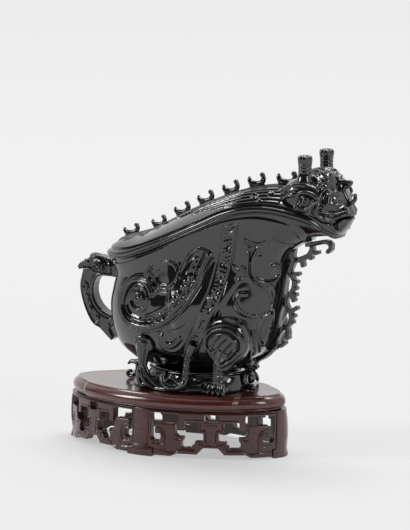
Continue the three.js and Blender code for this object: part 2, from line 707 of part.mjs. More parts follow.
function footRing(grow) {
  const base = vesselDatum + seatGap - grow;
  const edge = vesselDatum + seatGap + footEdge + grow;
  const top = footRimTop + grow;
  const waist = edge + (top - edge) * 0.5;
  const inner = footWall + grow;
  const rings = [
    footOval(0, inner + 3, base),
    footOval(0, -grow, base),
    footOval(0, -grow, edge),
    footOval(0.78, -grow, waist),
    footOval(1, -grow, top - 1.5),
    footOval(1, 1 - grow, top),
    footOval(1, inner, top),
    footOval(0.78, inner + 1, waist - 1),
  ];
  return toSolid(skin(rings, true));
}

// Hooks along the spine, horns, ears and nose

function spineHook(x, cutters) {
  const slope = Math.atan2(spineHeight(x + 5) - spineHeight(x - 5), 10);
  const half = hookWidth / 2;
  const curl = hookBar * 0.5;
  const root = 4;
  const rightSide = [[half - 3, -root], [half - 1.5, 1.2], [half, 4], [half - 0.4, hookHeight - 1],
    [half - 2, hookHeight], [half - 4.4, hookHeight - 0.6], [half - 4.6, hookHeight - 2.6],
    [half - 3, hookHeight - 3], [half - hookBar - 0.4, hookBar + curl]];
  const leftSide = rightSide.map(([across, up]) => [-across, up]).reverse();
  const outline = [...rightSide, ...leftSide];
  const solid = plate(outline, hookThickness, 0.5);
  let turned = solid.rotate([0, -(slope * 180) / Math.PI, 0]).translate([x, 0, spineHeight(x)]);
  for (const cutter of cutters) turned = turned.subtract(cutter);
  return largestPiece(turned);
}

// Height of the head's upper surface over a place in plan
function headSurface(x, y) {
  const along = (pick) => lineHeight(headStations.map((s) => [s.x, pick(s)]), x);
  const top = along((s) => s.top);
  const bottom = along((s) => s.bottom);
  const c = Math.min(1, Math.abs(y) / along((s) => s.half)) ** (1 / rimSquareness);
  return (top + bottom) / 2 + ((top - bottom) / 2) * (1 - c * c) ** (rimSquareness / 2);
}

function horn(side, cutter) {
  const surface = headSurface(hornX, hornY);
  const root = surface - hornFlare;
  const top = surface + hornHeight;
  const neckTop = top - hornHeadHeight;
  const profile = [
    [0, root - hornBury],
    [hornRadius, root - hornBury],
    [hornRadius * 0.93, root],
    [hornNeck, surface + hornFlare],
    [hornNeck, neckTop],
    [hornNeck * 1.2, neckTop + 0.8],
    [hornNeck * 1.07, neckTop + 1.8],
    [hornRadius, neckTop + 3.4],
    [hornRadius, top - 2.4],
    [hornRadius * 0.72, top - 0.5],
    [0, top],
  ];
  const geometry = new THREE.LatheGeometry(profile.map(([r, z]) => new THREE.Vector2(r, z)), 16);
  geometry.rotateX(Math.PI / 2);
  geometry.translate(hornX, side * hornY, 0);
  return largestPiece(toSolid(geometry).subtract(cutter));
}

function ear(side, cutters) {
  const leaf = [[-0.5, 0.12], [-0.36, 0.42], [-0.08, 0.5], [0.2, 0.36], [0.5, -0.08], [0.22, -0.4],
    [-0.06, -0.5], [-0.32, -0.4], [-0.47, -0.16]];
  const outline = leaf.map(([u, v]) => {
    const x = u * earLength;
    const z = v * earHeight;
    return [
      earX + x * Math.cos(earTilt) - z * Math.sin(earTilt),
      earZ + x * Math.sin(earTilt) + z * Math.cos(earTilt),
    ];
  }).reverse();
  let solid = plate(outline, earThickness * 3, 1.2);
  solid = solid.translate([0, side * (headStations[3].half + earThickness * 0.5 - earThickness * 1.5), 0]);
  for (const cutter of cutters) solid = solid.subtract(cutter);
  return largestPiece(solid);
}

function noseFlange(cutter) {
  const outline = [[140, 238], [140, 228], [149, 214], [154, 203], [157, 209.5], [162, 212.5], [163.5, 219],
    [160.5, 219], [159, 215.5], [156, 216.5], [153.5, 221], [153, 224], [158.5, 224.5], [158.5, 229],
    [150.5, 229.2], [147, 233], [145.5, 237.5]];
  return largestPiece(plate(outline, noseThickness).subtract(cutter));
}

// The stand

function planPoint(angle, halfLength, halfWidth) {
  const c = Math.cos(angle);
  const n = Math.sin(angle);
  const power = 2 / planPower;
  return [halfLength * Math.sign(c) * Math.abs(c) ** power, halfWidth * Math.sign(n) * Math.abs(n) ** power];
}

// The board's outline steps in a little near each end
function boardRing(halfLength, halfWidth, z) {
  const ring = [];
  const steps = ovalSteps * 1.5;
  for (let j = 0; j < steps; j += 1) {
    const [x, y] = planPoint((j / steps) * Math.PI * 2, halfLength, halfWidth);
    const past = Math.min(1, Math.max(0, (Math.abs(x) - (boardHalfLength - lobeLength)) / 2));
    const setback = Math.sign(y) * Math.min(Math.abs(y), lobeSetback * past);
    ring.push([x, y - setback, z]);
  }
  return ring;
}

function board() {
  const base = standHeight - boardThickness;
  const roll = [];
  const rollSteps = 5;
  for (let i = 0; i <= rollSteps; i += 1) {
    const angle = -Math.PI / 2 + (i / rollSteps) * Math.PI * 0.95;
    const out = mouldingBulge * (0.35 + 0.65 * Math.cos(angle));
    const rise = (boardThickness - 1.5) * 0.5 * (1 + Math.sin(angle));
    roll.push([out, base + rise]);
  }
  const rings = roll.map(([out, z]) => boardRing(boardHalfLength + out, boardHalfWidth + out, z));
  rings.push(boardRing(boardHalfLength + 1, boardHalfWidth + 1, standHeight - 0.8));
  rings.push(boardRing(boardHalfLength, boardHalfWidth, standHeight));
  return toSolid(skin(rings));
}

const apronTop = standHeight - boardThickness - seatGap;
const apronHalfLength = boardHalfLength + apronPastEnd;
const apronHalfWidth = boardHalfWidth + apronPastSide;

// Arc length along a quarter of the apron, from the middle of a long side to the tip
const quarter = (() => {
  const steps = 200;
  const table = [{ angle: Math.PI / 2, run: 0 }];
  let run = 0;
  let [px, py] = planPoint(Math.PI / 2, apronHalfLength, apronHalfWidth);
  for (let i = 1; i <= steps; i += 1) {
    const angle = (Math.PI / 2) * (1 - i / steps);
    const [x, y] = planPoint(angle, apronHalfLength, apronHalfWidth);
    run += Math.hypot(x - px, y - py);
    table.push({ angle, run });
    [px, py] = [x, y];
  }
  return { table, length: run };
})();

function quarterAngle(run) {
  const { table } = quarter;
  let i = 1;
  while (i < table.length - 1 && table[i].run < run) i += 1;
  const a = table[i - 1];
  const b = table[i];
  return a.angle + (b.angle - a.angle) * ((run - a.run) / (b.run - a.run));
}

// A point of the apron: run along the quarter, height, and depth inwards from the outer face
function apronPoint(run, z, depth, endX, sideY) {
  const lean = apronFlare * (1 - z / apronTop);
  const point = (r) => {
    if (r < 0) {
      const [x, y] = planPoint(quarterAngle(-r), apronHalfLength, apronHalfWidth + lean);
      return [-x, y];
    }
    if (r > quarter.length) {
      const [x, y] = planPoint(quarterAngle(2 * quarter.length - r), apronHalfLength, apronHalfWidth + lean);
      return [x, -y];
    }
    return planPoint(quarterAngle(r), apronHalfLength, apronHalfWidth + lean);
  };
  const [x, y] = point(run);
  const [ax, ay] = point(run - 2);
  const [bx, by] = point(run + 2);
  const length = Math.hypot(bx - ax, by - ay);
  const inX = (by - ay) / length;
  const inY = -(bx - ax) / length;
  return [endX * (x + inX * depth), sideY * (y + inY * depth), z];
}

// A flat outline in run and height, given thickness and bent to the apron's plan
function bentPlate(outline, holes, thickness, proud, endX, sideY) {
  const shape = new THREE.Shape(outline.map(([u, z]) => new THREE.Vector2(u, z)));
  for (const hole of holes) {
    shape.holes.push(new THREE.Path(hole.map(([u, z]) => new THREE.Vector2(u, z))));
  }
  const geometry = new THREE.ExtrudeGeometry(shape, { depth: thickness, bevelEnabled: false, steps: 1 });
  const position = geometry.attributes.position;
  for (let i = 0; i < position.count; i += 1) {
    const [x, y, z] = apronPoint(position.getX(i), position.getY(i), position.getZ(i) - proud, endX, sideY);
    position.setXYZ(i, x, y, z);
  }
  if (endX * sideY < 0) {
    const index = [];
    for (let i = 0; i < position.count; i += 3) index.push(i, i + 2, i + 1);
    geometry.setIndex(index);
  }
  return toSolid(geometry);
}

// Points added along the edges that run with the apron, so that they can bend. On a face with holes
// each is set out by a hair, because its triangulation drops points that lie exactly on a line.
function divided(points, step, hair) {
  const result = [];
  points.forEach((p, i) => {
    const q = points[(i + 1) % points.length];
    const run = q[0] - p[0];
    const count = Math.max(1, Math.round(Math.abs(run) / step));
    for (let k = 0; k < count; k += 1) {
      const share = k / count;
      const bow = hair * 4 * share * (1 - share) * Math.sign(run);
      result.push([p[0] + run * share, p[1] + (q[1] - p[1]) * share - bow]);
    }
  });
  return result;
}

// Where a panel begins and ends along its quarter. Towards the rear the quarter holds most of the post.
function panelSpan(endX) {
  const start = postHalfWidth + seatGap - endX * postSetback;
  const end = quarter.length - endPostHalfWidth - seatGap;
  return { middle: (start + end) / 2, half: (end - start) / 2 };
}

// One half of a fret panel, from a post to the panel's middle. Places across are shares of that half,
// and the opening's heights are shares of the apron's height.
function fretHalf(flip, endX, sideY) {
  const { middle, half } = panelSpan(endX);
  const across = (u) => middle + (flip ? 1 : -1) * (1 - u) * half;
  const place = (points) => (flip ? [...points].reverse() : points).map(([u, z]) => [across(u), z]);
  const foot = (postFootHalfWidth - (flip ? endPostHalfWidth : postHalfWidth) + seatGap) / half;
  const leg = footHeight + seatGap;
  const rail = apronTop - topRail;
  const past = 1 + halfOverlap / half;
  const opening = [[0.03, 0.924], [0.482, 0.924], [0.482, 0.625], [0.571, 0.625], [0.571, 0.781],
    [0.809, 0.781], [0.809, 0.573], [0.88, 0.56], [0.88, 0.378], [0.753, 0.378], [0.753, 0.3], [0.715, 0.3],
    [0.715, 0.24], [0.547, 0.24], [0.547, 0.365], [0.575, 0.378], [0.575, 0.464], [0.482, 0.464],
    [0.444, 0.508], [0.416, 0.716], [0.118, 0.716], [0.1, 0.586], [0.108, 0.49], [0.198, 0.49],
    [0.198, 0.346], [0.06, 0.346], [0.035, 0.404]].map(([u, share]) => [u, share * apronTop]);
  const step = apronTop * 0.776;
  const outline = [[0, apronTop], [0, leg], [foot, leg], [foot, panelRest], [0.38, panelRest],
    [0.47, panelStep], [0.79, panelStep], [0.885, panelRise], [past, panelRise], [past, step],
    [0.885, step], [0.885, rail], [past, rail], [past, apronTop]];
  const edge = divided(place(outline), 9, edgeBow);
  return bentPlate(edge, [divided(place(opening), 9, edgeBow)], apronThickness, 0, endX, sideY);
}

function fretPanel(endX, sideY) {
  return fretHalf(false, endX, sideY).add(fretHalf(true, endX, sideY));
}

// A plain post on its foot, at a place along the apron
function post(middle, halfWidth, endX, sideY) {
  const outline = [
    [middle - halfWidth, apronTop],
    [middle - halfWidth, footHeight],
    [middle - postFootHalfWidth, footHeight - footShoulder],
    [middle - postFootHalfWidth, 0],
    [middle + postFootHalfWidth, 0],
    [middle + postFootHalfWidth, footHeight - footShoulder],
    [middle + halfWidth, footHeight],
    [middle + halfWidth, apronTop],
  ];
  return bentPlate(divided(outline, 6.5, 0), [], apronThickness + footToe, footToe, endX, sideY);
}

// The whole object

const object = new THREE.Group();

function addPiece(name, solid, material, rise = 0) {
  const mesh = new THREE.Mesh(toGeometry(solid.translate([0, 0, rise])), material);
  mesh.name = name;
  object.add(mesh);
}

const onStand = standHeight - vesselDatum;

const grown = (spec) => ({
  ...spec,
  length: spec.length + seatGap,
  depth: spec.depth + seatGap,
  height: spec.height + seatGap,
});
const besideLegs = [-1, 1].flatMap((side) => [haunch, hindHip].map((spec) => ellipsoid(grown(spec), side)));
const besideCarving = [...besideLegs, flangeSlab()];

const aroundBowl = bowlBlank(seatGap);
const aroundLid = lidBlank(seatGap);
const aroundHead = headBlank(seatGap);
const aroundFoot = footRing(seatGap);
const ground = groundBlock();

addPiece('stand_board', board(), polishedWood);
for (const [side, sideY] of [['near', -1], ['far', 1]]) {
  addPiece(`stand_post_${side}`, post(-postSetback, postHalfWidth, 1, sideY), fretWood);
  for (const [end, endX] of [['front', 1], ['rear', -1]]) {
    addPiece(`fret_panel_${side}_${end}`, fretPanel(endX, sideY), fretWood);
  }
}
addPiece('stand_post_front', post(quarter.length, endPostHalfWidth, 1, 1), fretWood);
addPiece('stand_post_rear', post(quarter.length, endPostHalfWidth, -1, 1), fretWood);

addPiece('bowl', bowl(0).add(bowlCarving(besideCarving)), blackStone, onStand);
addPiece('foot_ring', footRing(0), blackStone, onStand);
for (const [side, sideY] of [['near', -1], ['far', 1]]) {
  addPiece(`fore_leg_${side}`, foreLeg(sideY, [aroundBowl, aroundFoot, ground]), blackStone, onStand);
  addPiece(`hind_leg_${side}`, hindLeg(sideY, [aroundBowl, aroundFoot, ground]), blackStone, onStand);
  const strut = serpentStrut(sideY, [aroundBowl, aroundFoot, ground]);
  addPiece(`serpent_strut_${side}`, strut, blackStone, onStand);
}
addPiece('foot_hooks_front', footHooks(1, [aroundFoot, aroundBowl]), blackStone, onStand);
addPiece('foot_hooks_rear', footHooks(-1, [aroundFoot, aroundBowl]), blackStone, onStand);
addPiece('handle', handle(aroundBowl), blackStone, onStand);
addPiece('spout_flange', spoutFlange(aroundBowl), blackStone, onStand);

addPiece('lid_shell', lidShell().add(lidCarving()), blackStone, onStand);
const head = largestPiece(headBlank(0).subtract(aroundLid).subtract(aroundBowl));
addPiece('beast_head', head, blackStone, onStand);
hookPlaces.forEach((x, i) => {
  addPiece(`spine_hook_${i + 1}`, spineHook(x, [aroundLid, aroundHead]), blackStone, onStand);
});
for (const [side, sideY] of [['near', -1], ['far', 1]]) {
  addPiece(`horn_${side}`, horn(sideY, aroundHead), blackStone, onStand);
  addPiece(`ear_${side}`, ear(sideY, [aroundHead, aroundLid]), blackStone, onStand);
}
addPiece('nose_flange', noseFlange(aroundHead), blackStone, onStand);

const box = new THREE.Box3().setFromObject(object);
const middle = box.getCenter(new THREE.Vector3());
object.position.set(-middle.x, -middle.y, -box.min.z);

export default object;
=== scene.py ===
# %% [markdown]
# A lidded pouring vessel, carved from one block of dark stone with a second block for its lid, stands
# on a fretted hardwood stand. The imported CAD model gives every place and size. This scene dresses it:
# the plain solids are swapped for carved pieces, and each surface gets the finish of the real one.

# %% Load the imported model
import json
import math

import bpy
import numpy as np
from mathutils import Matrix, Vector

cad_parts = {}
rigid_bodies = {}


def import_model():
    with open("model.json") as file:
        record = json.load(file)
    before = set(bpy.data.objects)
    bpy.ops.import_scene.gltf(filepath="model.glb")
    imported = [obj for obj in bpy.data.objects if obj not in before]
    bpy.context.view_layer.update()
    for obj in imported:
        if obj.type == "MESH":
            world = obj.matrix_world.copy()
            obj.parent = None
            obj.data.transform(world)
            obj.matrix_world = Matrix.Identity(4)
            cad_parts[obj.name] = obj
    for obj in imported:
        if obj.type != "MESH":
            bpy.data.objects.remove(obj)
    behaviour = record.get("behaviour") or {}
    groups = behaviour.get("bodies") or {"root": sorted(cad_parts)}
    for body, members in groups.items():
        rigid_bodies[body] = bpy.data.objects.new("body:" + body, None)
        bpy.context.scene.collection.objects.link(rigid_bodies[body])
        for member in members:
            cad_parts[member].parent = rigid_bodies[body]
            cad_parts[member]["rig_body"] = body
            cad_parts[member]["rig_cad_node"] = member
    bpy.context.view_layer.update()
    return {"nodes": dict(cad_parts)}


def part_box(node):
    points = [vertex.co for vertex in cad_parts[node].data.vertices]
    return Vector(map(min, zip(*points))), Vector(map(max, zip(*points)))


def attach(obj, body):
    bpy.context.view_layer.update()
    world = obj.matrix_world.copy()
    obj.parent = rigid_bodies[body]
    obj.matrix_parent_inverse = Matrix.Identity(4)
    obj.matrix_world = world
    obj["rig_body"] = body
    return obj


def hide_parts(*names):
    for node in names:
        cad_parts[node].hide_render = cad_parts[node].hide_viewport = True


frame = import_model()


def link_object(thing):
    bpy.context.scene.collection.objects.link(thing)


# %% [markdown]
# The carving is drawn in millimetres with the middle of the stand at zero, because a carver's
# template would be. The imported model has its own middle, so one shift brings the drawing onto it.

# %% The drawing's place in the model
board_low, board_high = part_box("stand_board")
STAND_MIDDLE = (board_low.x + board_high.x) / 2


def to_metres(points):
    return np.asarray(points, float) / 1000 + np.array([STAND_MIDDLE, 0, 0])


def to_millimetres(points):
    return (np.asarray(points, float) - np.array([STAND_MIDDLE, 0, 0])) * 1000


print("stand's middle lies at x =", round(STAND_MIDDLE, 5))

# %% [markdown]
# ## Camera
# The vessel is seen from its right side, turned 29 degrees, from a little above. A long lens keeps
# the picture nearly free of perspective, as in a catalogue.

# %% Camera at the picture's angle
TURN, TILT = math.radians(29), math.radians(9.7)
DISTANCE = 4.0
MM_PER_PIXEL = 0.82
PICTURE_MIDDLE, PICTURE_HEIGHT = (205, 265), 530
ZERO_SEEN_AT = (178.7, 444.2)  # the pixel at which the drawing's zero point is seen
SENSOR_HEIGHT = 24
right = Vector((math.cos(TURN), math.sin(TURN), 0))
back = Vector((math.sin(TURN) * math.cos(TILT), -math.cos(TURN) * math.cos(TILT), math.sin(TILT)))
up = back.cross(right)
aim = Vector((STAND_MIDDLE, 0, 0))
aim -= right * ((ZERO_SEEN_AT[0] - PICTURE_MIDDLE[0]) * MM_PER_PIXEL / 1000)
aim -= up * ((PICTURE_MIDDLE[1] - ZERO_SEEN_AT[1]) * MM_PER_PIXEL / 1000)
camera_data = bpy.data.cameras.new("camera")
camera = bpy.data.objects.new("camera", camera_data)
link_object(camera)
camera.location = aim + back * DISTANCE
camera.rotation_euler = back.to_track_quat("Z", "Y").to_euler()
camera_data.sensor_fit = "VERTICAL"
camera_data.sensor_height = SENSOR_HEIGHT
camera_data.lens = SENSOR_HEIGHT * (DISTANCE * 1000 / MM_PER_PIXEL) / PICTURE_HEIGHT
camera_data.clip_end = 50
bpy.context.scene.camera = camera
print("camera at", [round(c, 3) for c in camera.location])

# %% [markdown]
# ## Materials
# Each finish is a node tree. One function adds a node with its settings and links, and another turns
# an sRGB hex colour into the linear value that the shader needs.

# %% Helpers for materials


def linear(hex_colour):
    values = [int(hex_colour[i : i + 2], 16) / 255 for i in (1, 3, 5)]
    return tuple(v / 12.92 if v <= 0.04045 else ((v + 0.055) / 1.055) ** 2.4 for v in values) + (1.0,)


def add_node(tree, kind, links=None, **settings):
    """Adds a node. Settings name its properties or inputs, and links give an input its source."""
    node = tree.nodes.new(kind)
    for name, value in settings.items():
        if hasattr(node, name):
            setattr(node, name, value)
        else:
            node.inputs[name.replace("_", " ")].default_value = value
    for name, source in (links or {}).items():
        tree.links.new(source, node.inputs[name])
    return node


def new_material(name, **settings):
    material = bpy.data.materials.new(name)
    material.use_nodes = True
    tree = material.node_tree
    tree.nodes.clear()
    shader = add_node(tree, "ShaderNodeBsdfPrincipled", **settings)
    add_node(tree, "ShaderNodeOutputMaterial", {"Surface": shader.outputs[0]})
    return material, tree, shader


def colour_ramp(tree, source, stops):
    ramp = add_node(tree, "ShaderNodeValToRGB", {"Fac": source})
    elements = ramp.color_ramp.elements
    for i, (place, hex_colour) in enumerate(stops):
        element = elements[i] if i < 2 else elements.new(place)
        element.position = place
        element.color = linear(hex_colour)
    return ramp.outputs["Color"]


print("helpers for materials are ready")

# %% [markdown]
# **Polished black stone.** A dark, fine-grained stone such as black jade takes a glassy polish: the
# colour is nearly black, with faint cloudy patches a few millimetres across, and almost all that the
# eye sees is reflection. Its refractive index is about 1.62, and a coat of wax lies over it. Hand
# polishing leaves the faces a little wavy over 10 to 15 mm, which breaks the edges of reflections,
# and fine grit about 0.3 mm apart stays in the hollows.

# %% Polished black stone
stone, tree, shader = new_material("polished_black_stone", IOR=1.62, Coat_Weight=0.6,
                                   Coat_Roughness=0.04)
place = add_node(tree, "ShaderNodeTexCoord").outputs["Object"]
clouds = add_node(tree, "ShaderNodeTexNoise", {"Vector": place}, Scale=60.0, Detail=6.0, Roughness=0.6)
base = colour_ramp(tree, clouds.outputs["Fac"], [(0.35, "#070808"), (0.72, "#161818")])
tree.links.new(base, shader.inputs["Base Color"])
wear = add_node(tree, "ShaderNodeMapRange", {"Value": clouds.outputs["Fac"]}, To_Min=0.05, To_Max=0.13)
tree.links.new(wear.outputs[0], shader.inputs["Roughness"])
waves = add_node(tree, "ShaderNodeTexNoise", {"Vector": place}, Scale=85.0, Detail=1.0)
wavy = add_node(tree, "ShaderNodeBump", {"Height": waves.outputs["Fac"]}, Strength=0.35, Distance=0.0006)
grit = add_node(tree, "ShaderNodeTexNoise", {"Vector": place}, Scale=1500.0, Detail=2.0)
fine = add_node(tree, "ShaderNodeBump", {"Height": grit.outputs["Fac"], "Normal": wavy.outputs[0]},
                Strength=0.05, Distance=0.0001)
tree.links.new(fine.outputs[0], shader.inputs["Normal"])
print("made", stone.name)

# %% [markdown]
# **Waxed rosewood.** The stand is a dense red-brown hardwood such as rosewood, with fine pores and
# darker streaks along the grain about a millimetre or two apart. The moulded top is waxed to a high
# gloss over a coat of lacquer; the fretted apron was wiped, so it is browner and more satin.

# %% Waxed rosewood


def rosewood(name, dark, light, roughness, coat, coat_roughness):
    material, tree, shader = new_material(name, IOR=1.5, Coat_Weight=coat, Coat_Roughness=coat_roughness)
    place = add_node(tree, "ShaderNodeTexCoord").outputs["Object"]
    along = add_node(tree, "ShaderNodeMapping", {"Vector": place}, Scale=(14.0, 120.0, 120.0))
    streaks = add_node(tree, "ShaderNodeTexNoise", {"Vector": along.outputs[0]}, Scale=3.4, Detail=7.0,
                       Roughness=0.62, Distortion=0.5)
    pores_at = add_node(tree, "ShaderNodeMapping", {"Vector": place}, Scale=(90.0, 900.0, 900.0))
    pores = add_node(tree, "ShaderNodeTexNoise", {"Vector": pores_at.outputs[0]}, Scale=2.2, Detail=2.0)
    colour = colour_ramp(tree, streaks.outputs["Fac"], [(0.3, dark), (0.7, light)])
    tree.links.new(colour, shader.inputs["Base Color"])
    rough = add_node(tree, "ShaderNodeMapRange", {"Value": streaks.outputs["Fac"]},
                     To_Min=roughness * 0.85, To_Max=roughness * 1.25)
    tree.links.new(rough.outputs[0], shader.inputs["Roughness"])
    bump = add_node(tree, "ShaderNodeBump", {"Height": pores.outputs["Fac"]}, Strength=0.1,
                    Distance=0.0002)
    tree.links.new(bump.outputs[0], shader.inputs["Normal"])
    return material


moulding_wood = rosewood("waxed_rosewood_gloss", "#2c0706", "#641814", 0.3, 1.0, 0.06)
apron_wood = rosewood("waxed_rosewood_satin", "#2e110f", "#532522", 0.36, 0.8, 0.12)
print("made", moulding_wood.name, "and", apron_wood.name)

# %% Dress the CAD nodes
for node_name, node in frame["nodes"].items():
    if node_name == "stand_board":
        finish = moulding_wood
    elif node_name.startswith(("stand_", "fret_")):
        finish = apron_wood
    else:
        finish = stone
    node.data.materials.clear()
    node.data.materials.append(finish)
print("dressed", len(frame["nodes"]), "CAD nodes")

# %% [markdown]
# ## Lines and carving
# Relief is carved the way a sculptor marks it: lines are drawn on the surface, and each lifts or
# cuts the stone near it. A line has a kind, a width and a height. Places are two numbers, such as
# the run round the bowl and the height, so one drawing serves both sides.

# %% Helpers for lines


def smooth_line(points, steps=5):
    """A curve through points, with a few short steps between each pair."""
    points = np.asarray(points, float)
    if len(points) < 3:
        return points
    padded = np.vstack([2 * points[0] - points[1], points, 2 * points[-1] - points[-2]])
    line = []
    for i in range(len(points) - 1):
        a, b, c, d = padded[i : i + 4]
        for t in np.arange(steps) / steps:
            line.append(0.5 * (2 * b + (c - a) * t + (2 * a - 5 * b + 4 * c - d) * t**2
                               + (3 * b - a - 3 * c + d) * t**3))
    return np.vstack([line, points[-1]])


def distance_to(places, line):
    """Distance from each place to a line, and how far along the line it is, from 0 to 1."""
    best = np.full(len(places), np.inf)
    along = np.zeros(len(places))
    count = max(1, len(line) - 1)
    for i in range(count):
        start = line[i]
        step = line[min(i + 1, len(line) - 1)] - start
        length = step @ step
        t = np.clip(((places - start) @ step) / length, 0, 1) if length > 0 else np.zeros(len(places))
        gap = np.linalg.norm(places - start - t[:, None] * step, axis=1)
        closer = gap < best
        best[closer] = gap[closer]
        along[closer] = (i + t[closer]) / count
    return best, along


def left_of(places, line):
    """True where a place lies to the left of the nearest stretch of a line."""
    nearest = np.full(len(places), np.inf)
    left = np.zeros(len(places), bool)
    for start, stop in zip(line[:-1], line[1:]):
        step = stop - start
        gap = places - start
        t = np.clip((gap @ step) / max(step @ step, 1e-9), 0, 1)
        away = np.linalg.norm(gap - t[:, None] * step, axis=1)
        closer = away < nearest
        nearest[closer] = away[closer]
        left[closer] = (step[0] * gap[:, 1] - step[1] * gap[:, 0])[closer] > 0
    return left


def signed_power(values, power):
    return np.sign(values) * np.abs(values) ** power


def coil(x, z, inner, outer, start, turns, stretch=1.0, square=1.0):
    """Points of a spiral from inner to outer radius. Negative turns run clockwise."""
    count = max(10, int(abs(turns) * 22))
    share = np.linspace(0, 1, count)
    angle = math.radians(start) + share * turns * 2 * math.pi
    radius = inner + (outer - inner) * share
    across, above = signed_power(np.cos(angle), square), signed_power(np.sin(angle), square)
    return [(x + r * a * stretch, z + r * b) for r, a, b in zip(radius, across, above)]


def beads_along(points, spacing, start=0.0):
    """Evenly spaced places along a line."""
    line = smooth_line(points)
    run = np.concatenate([[0], np.cumsum(np.linalg.norm(np.diff(line, axis=0), axis=1))])
    places = np.arange(start, run[-1], spacing)
    return [(float(np.interp(p, run, line[:, 0])), float(np.interp(p, run, line[:, 1]))) for p in places]


def beside(points, gap):
    """The same line moved sideways by a gap, to its left."""
    line = smooth_line(points, 2)
    step = np.gradient(line, axis=0)
    step /= np.maximum(np.linalg.norm(step, axis=1, keepdims=True), 1e-9)
    return line + gap * np.stack([-step[:, 1], step[:, 0]], axis=1)


print("helpers for lines are ready")

# %% [markdown]
# Each kind has its own section across. A ridge is a rounded bar, a groove a cosine trough and a field
# a flat sunk patch with steep edges. A dome is a low swelling. A ramp tilts a broad ground: it falls
# away slowly to the left of its line and quickly to the right. Studs are half balls, and rings are
# raised circles.

# %% Carving along lines
POINT_KINDS = ("studs", "rings")
FIELD_EDGE = 4  # how steep a field's edge is
RAMP_BACK = 2.2  # how much steeper a ramp's right side is
RAMP_ENDS = 0.16  # the share of its line that each end fades over
RING_AT, RING_HALF_WIDTH = 0.62, 0.38  # shares of the ring's radius


def carve(places, strokes):
    """Height in millimetres that the strokes leave at each place."""
    height = np.zeros(len(places))
    for kind, width, rise, points in strokes:
        line = np.asarray(points, float) if kind in POINT_KINDS else smooth_line(points)
        first, last = width if isinstance(width, tuple) else (width, width)
        pad = max(first, last)
        near = np.all((places > line.min(0) - pad) & (places < line.max(0) + pad), axis=1)
        if not near.any():
            continue
        spot = places[near]
        if kind in POINT_KINDS:
            gap = np.min([np.linalg.norm(spot - p, axis=1) for p in line], axis=0)
            along = np.zeros(len(spot))
        else:
            gap, along = distance_to(spot, line)
        share = gap / ((first + (last - first) * along) / 2)
        inside = np.clip(1 - share * share, 0, 1)
        now = height[near]
        if kind == "ridge":
            ground = np.minimum(now, 0)
            now = np.maximum(now, ground + (rise - ground) * inside**0.7)
        elif kind == "field":
            now = now - rise * np.clip((1 - share) * FIELD_EDGE, 0, 1)
        elif kind == "ramp":
            steep = np.clip(1 - share * np.where(left_of(spot, line), 1, RAMP_BACK), 0, 1)
            ends = np.clip(np.minimum(along, 1 - along) / RAMP_ENDS, 0, 1)
            now = now + rise * steep * ends * ends * (3 - 2 * ends)
        elif kind == "dome":
            now = now + rise * inside
        elif kind == "studs":
            now = now + rise * np.sqrt(inside)
        elif kind == "rings":
            now = now + rise * np.clip(1 - ((share - RING_AT) / RING_HALF_WIDTH) ** 2, 0, 1)
        else:  # a groove
            now = now - rise * (0.5 + 0.5 * np.cos(np.pi * np.clip(share, 0, 1)))
        height[near] = now
    return height


def alike(kind, width, rise, *lines):
    """Strokes that differ only in their lines."""
    return [(kind, width, rise, line) for line in lines]


def carve_grid(first, second, strokes):
    """The carved height over a grid, given the two numbers of each place."""
    places = np.stack([first, second], axis=2).reshape(-1, 2)
    return carve(places, strokes).reshape(first.shape)


print("carving is ready")

# %% [markdown]
# ## Skins
# A round piece is made from a flat grid sheet. The sheet is wrapped round a stack of rings, its two
# edges meet and merge, and the open ends are filled. It starts as one primitive and keeps clean
# rows of faces, which is what the carving needs.

# %% Helpers for skins


def sheet_normals(rings):
    """Normals of a wrapped sheet, from its own rows and columns."""
    across = np.roll(rings, -1, axis=1) - np.roll(rings, 1, axis=1)
    down = np.gradient(rings, axis=0)
    normal = np.cross(across, down)
    return normal / np.maximum(np.linalg.norm(normal, axis=2, keepdims=True), 1e-9)


def vertex_data(piece):
    """Places and normals of a piece's vertices."""
    count = len(piece.data.vertices)
    co, normals = np.zeros(count * 3, np.float32), np.zeros(count * 3, np.float32)
    piece.data.vertices.foreach_get("co", co)
    piece.data.vertex_normals.foreach_get("vector", normals)
    return co.reshape(-1, 3).astype(float), normals.reshape(-1, 3).astype(float)


def move_vertices(piece, places):
    piece.data.vertices.foreach_set("co", np.asarray(places, np.float32).ravel())
    piece.data.update()


def edit_mesh(merge=None, fill=False, outward=False):
    """On the active mesh: merges vertices nearer than a distance, fills open ends, faces outward."""
    bpy.ops.object.mode_set(mode="EDIT")
    bpy.ops.mesh.select_all(action="SELECT")
    if merge:
        bpy.ops.mesh.remove_doubles(threshold=merge)
    if fill:
        bpy.ops.mesh.fill_holes(sides=0)
        bpy.ops.mesh.select_all(action="SELECT")
    if outward:
        bpy.ops.mesh.normals_make_consistent(inside=False)
    bpy.ops.object.mode_set(mode="OBJECT")


def wrap_sheet(name, rings):
    """A closed piece from rings (ring, place on it, xyz) in millimetres."""
    rows, columns = rings.shape[:2]
    bpy.ops.object.select_all(action="DESELECT")
    bpy.ops.mesh.primitive_grid_add(x_subdivisions=columns, y_subdivisions=rows - 1, size=1)
    piece = bpy.context.object
    piece.name = name
    sheet = np.concatenate([rings, rings[:, :1]], axis=1).reshape(-1, 3)
    move_vertices(piece, to_metres(sheet))
    edit_mesh(merge=1e-7, fill=True, outward=True)
    bpy.ops.object.shade_smooth()
    return piece


def finish_piece(piece, material, body, node):
    """Gives a piece its material and its body, and hides the CAD node that it stands for."""
    piece.data.materials.clear()
    piece.data.materials.append(material)
    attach(piece, body)
    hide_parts(node)
    piece.data.calc_loop_triangles()
    print(piece.name, len(piece.data.loop_triangles), "triangles")


def finish_stone(piece, body, node):
    finish_piece(piece, stone, body, node)


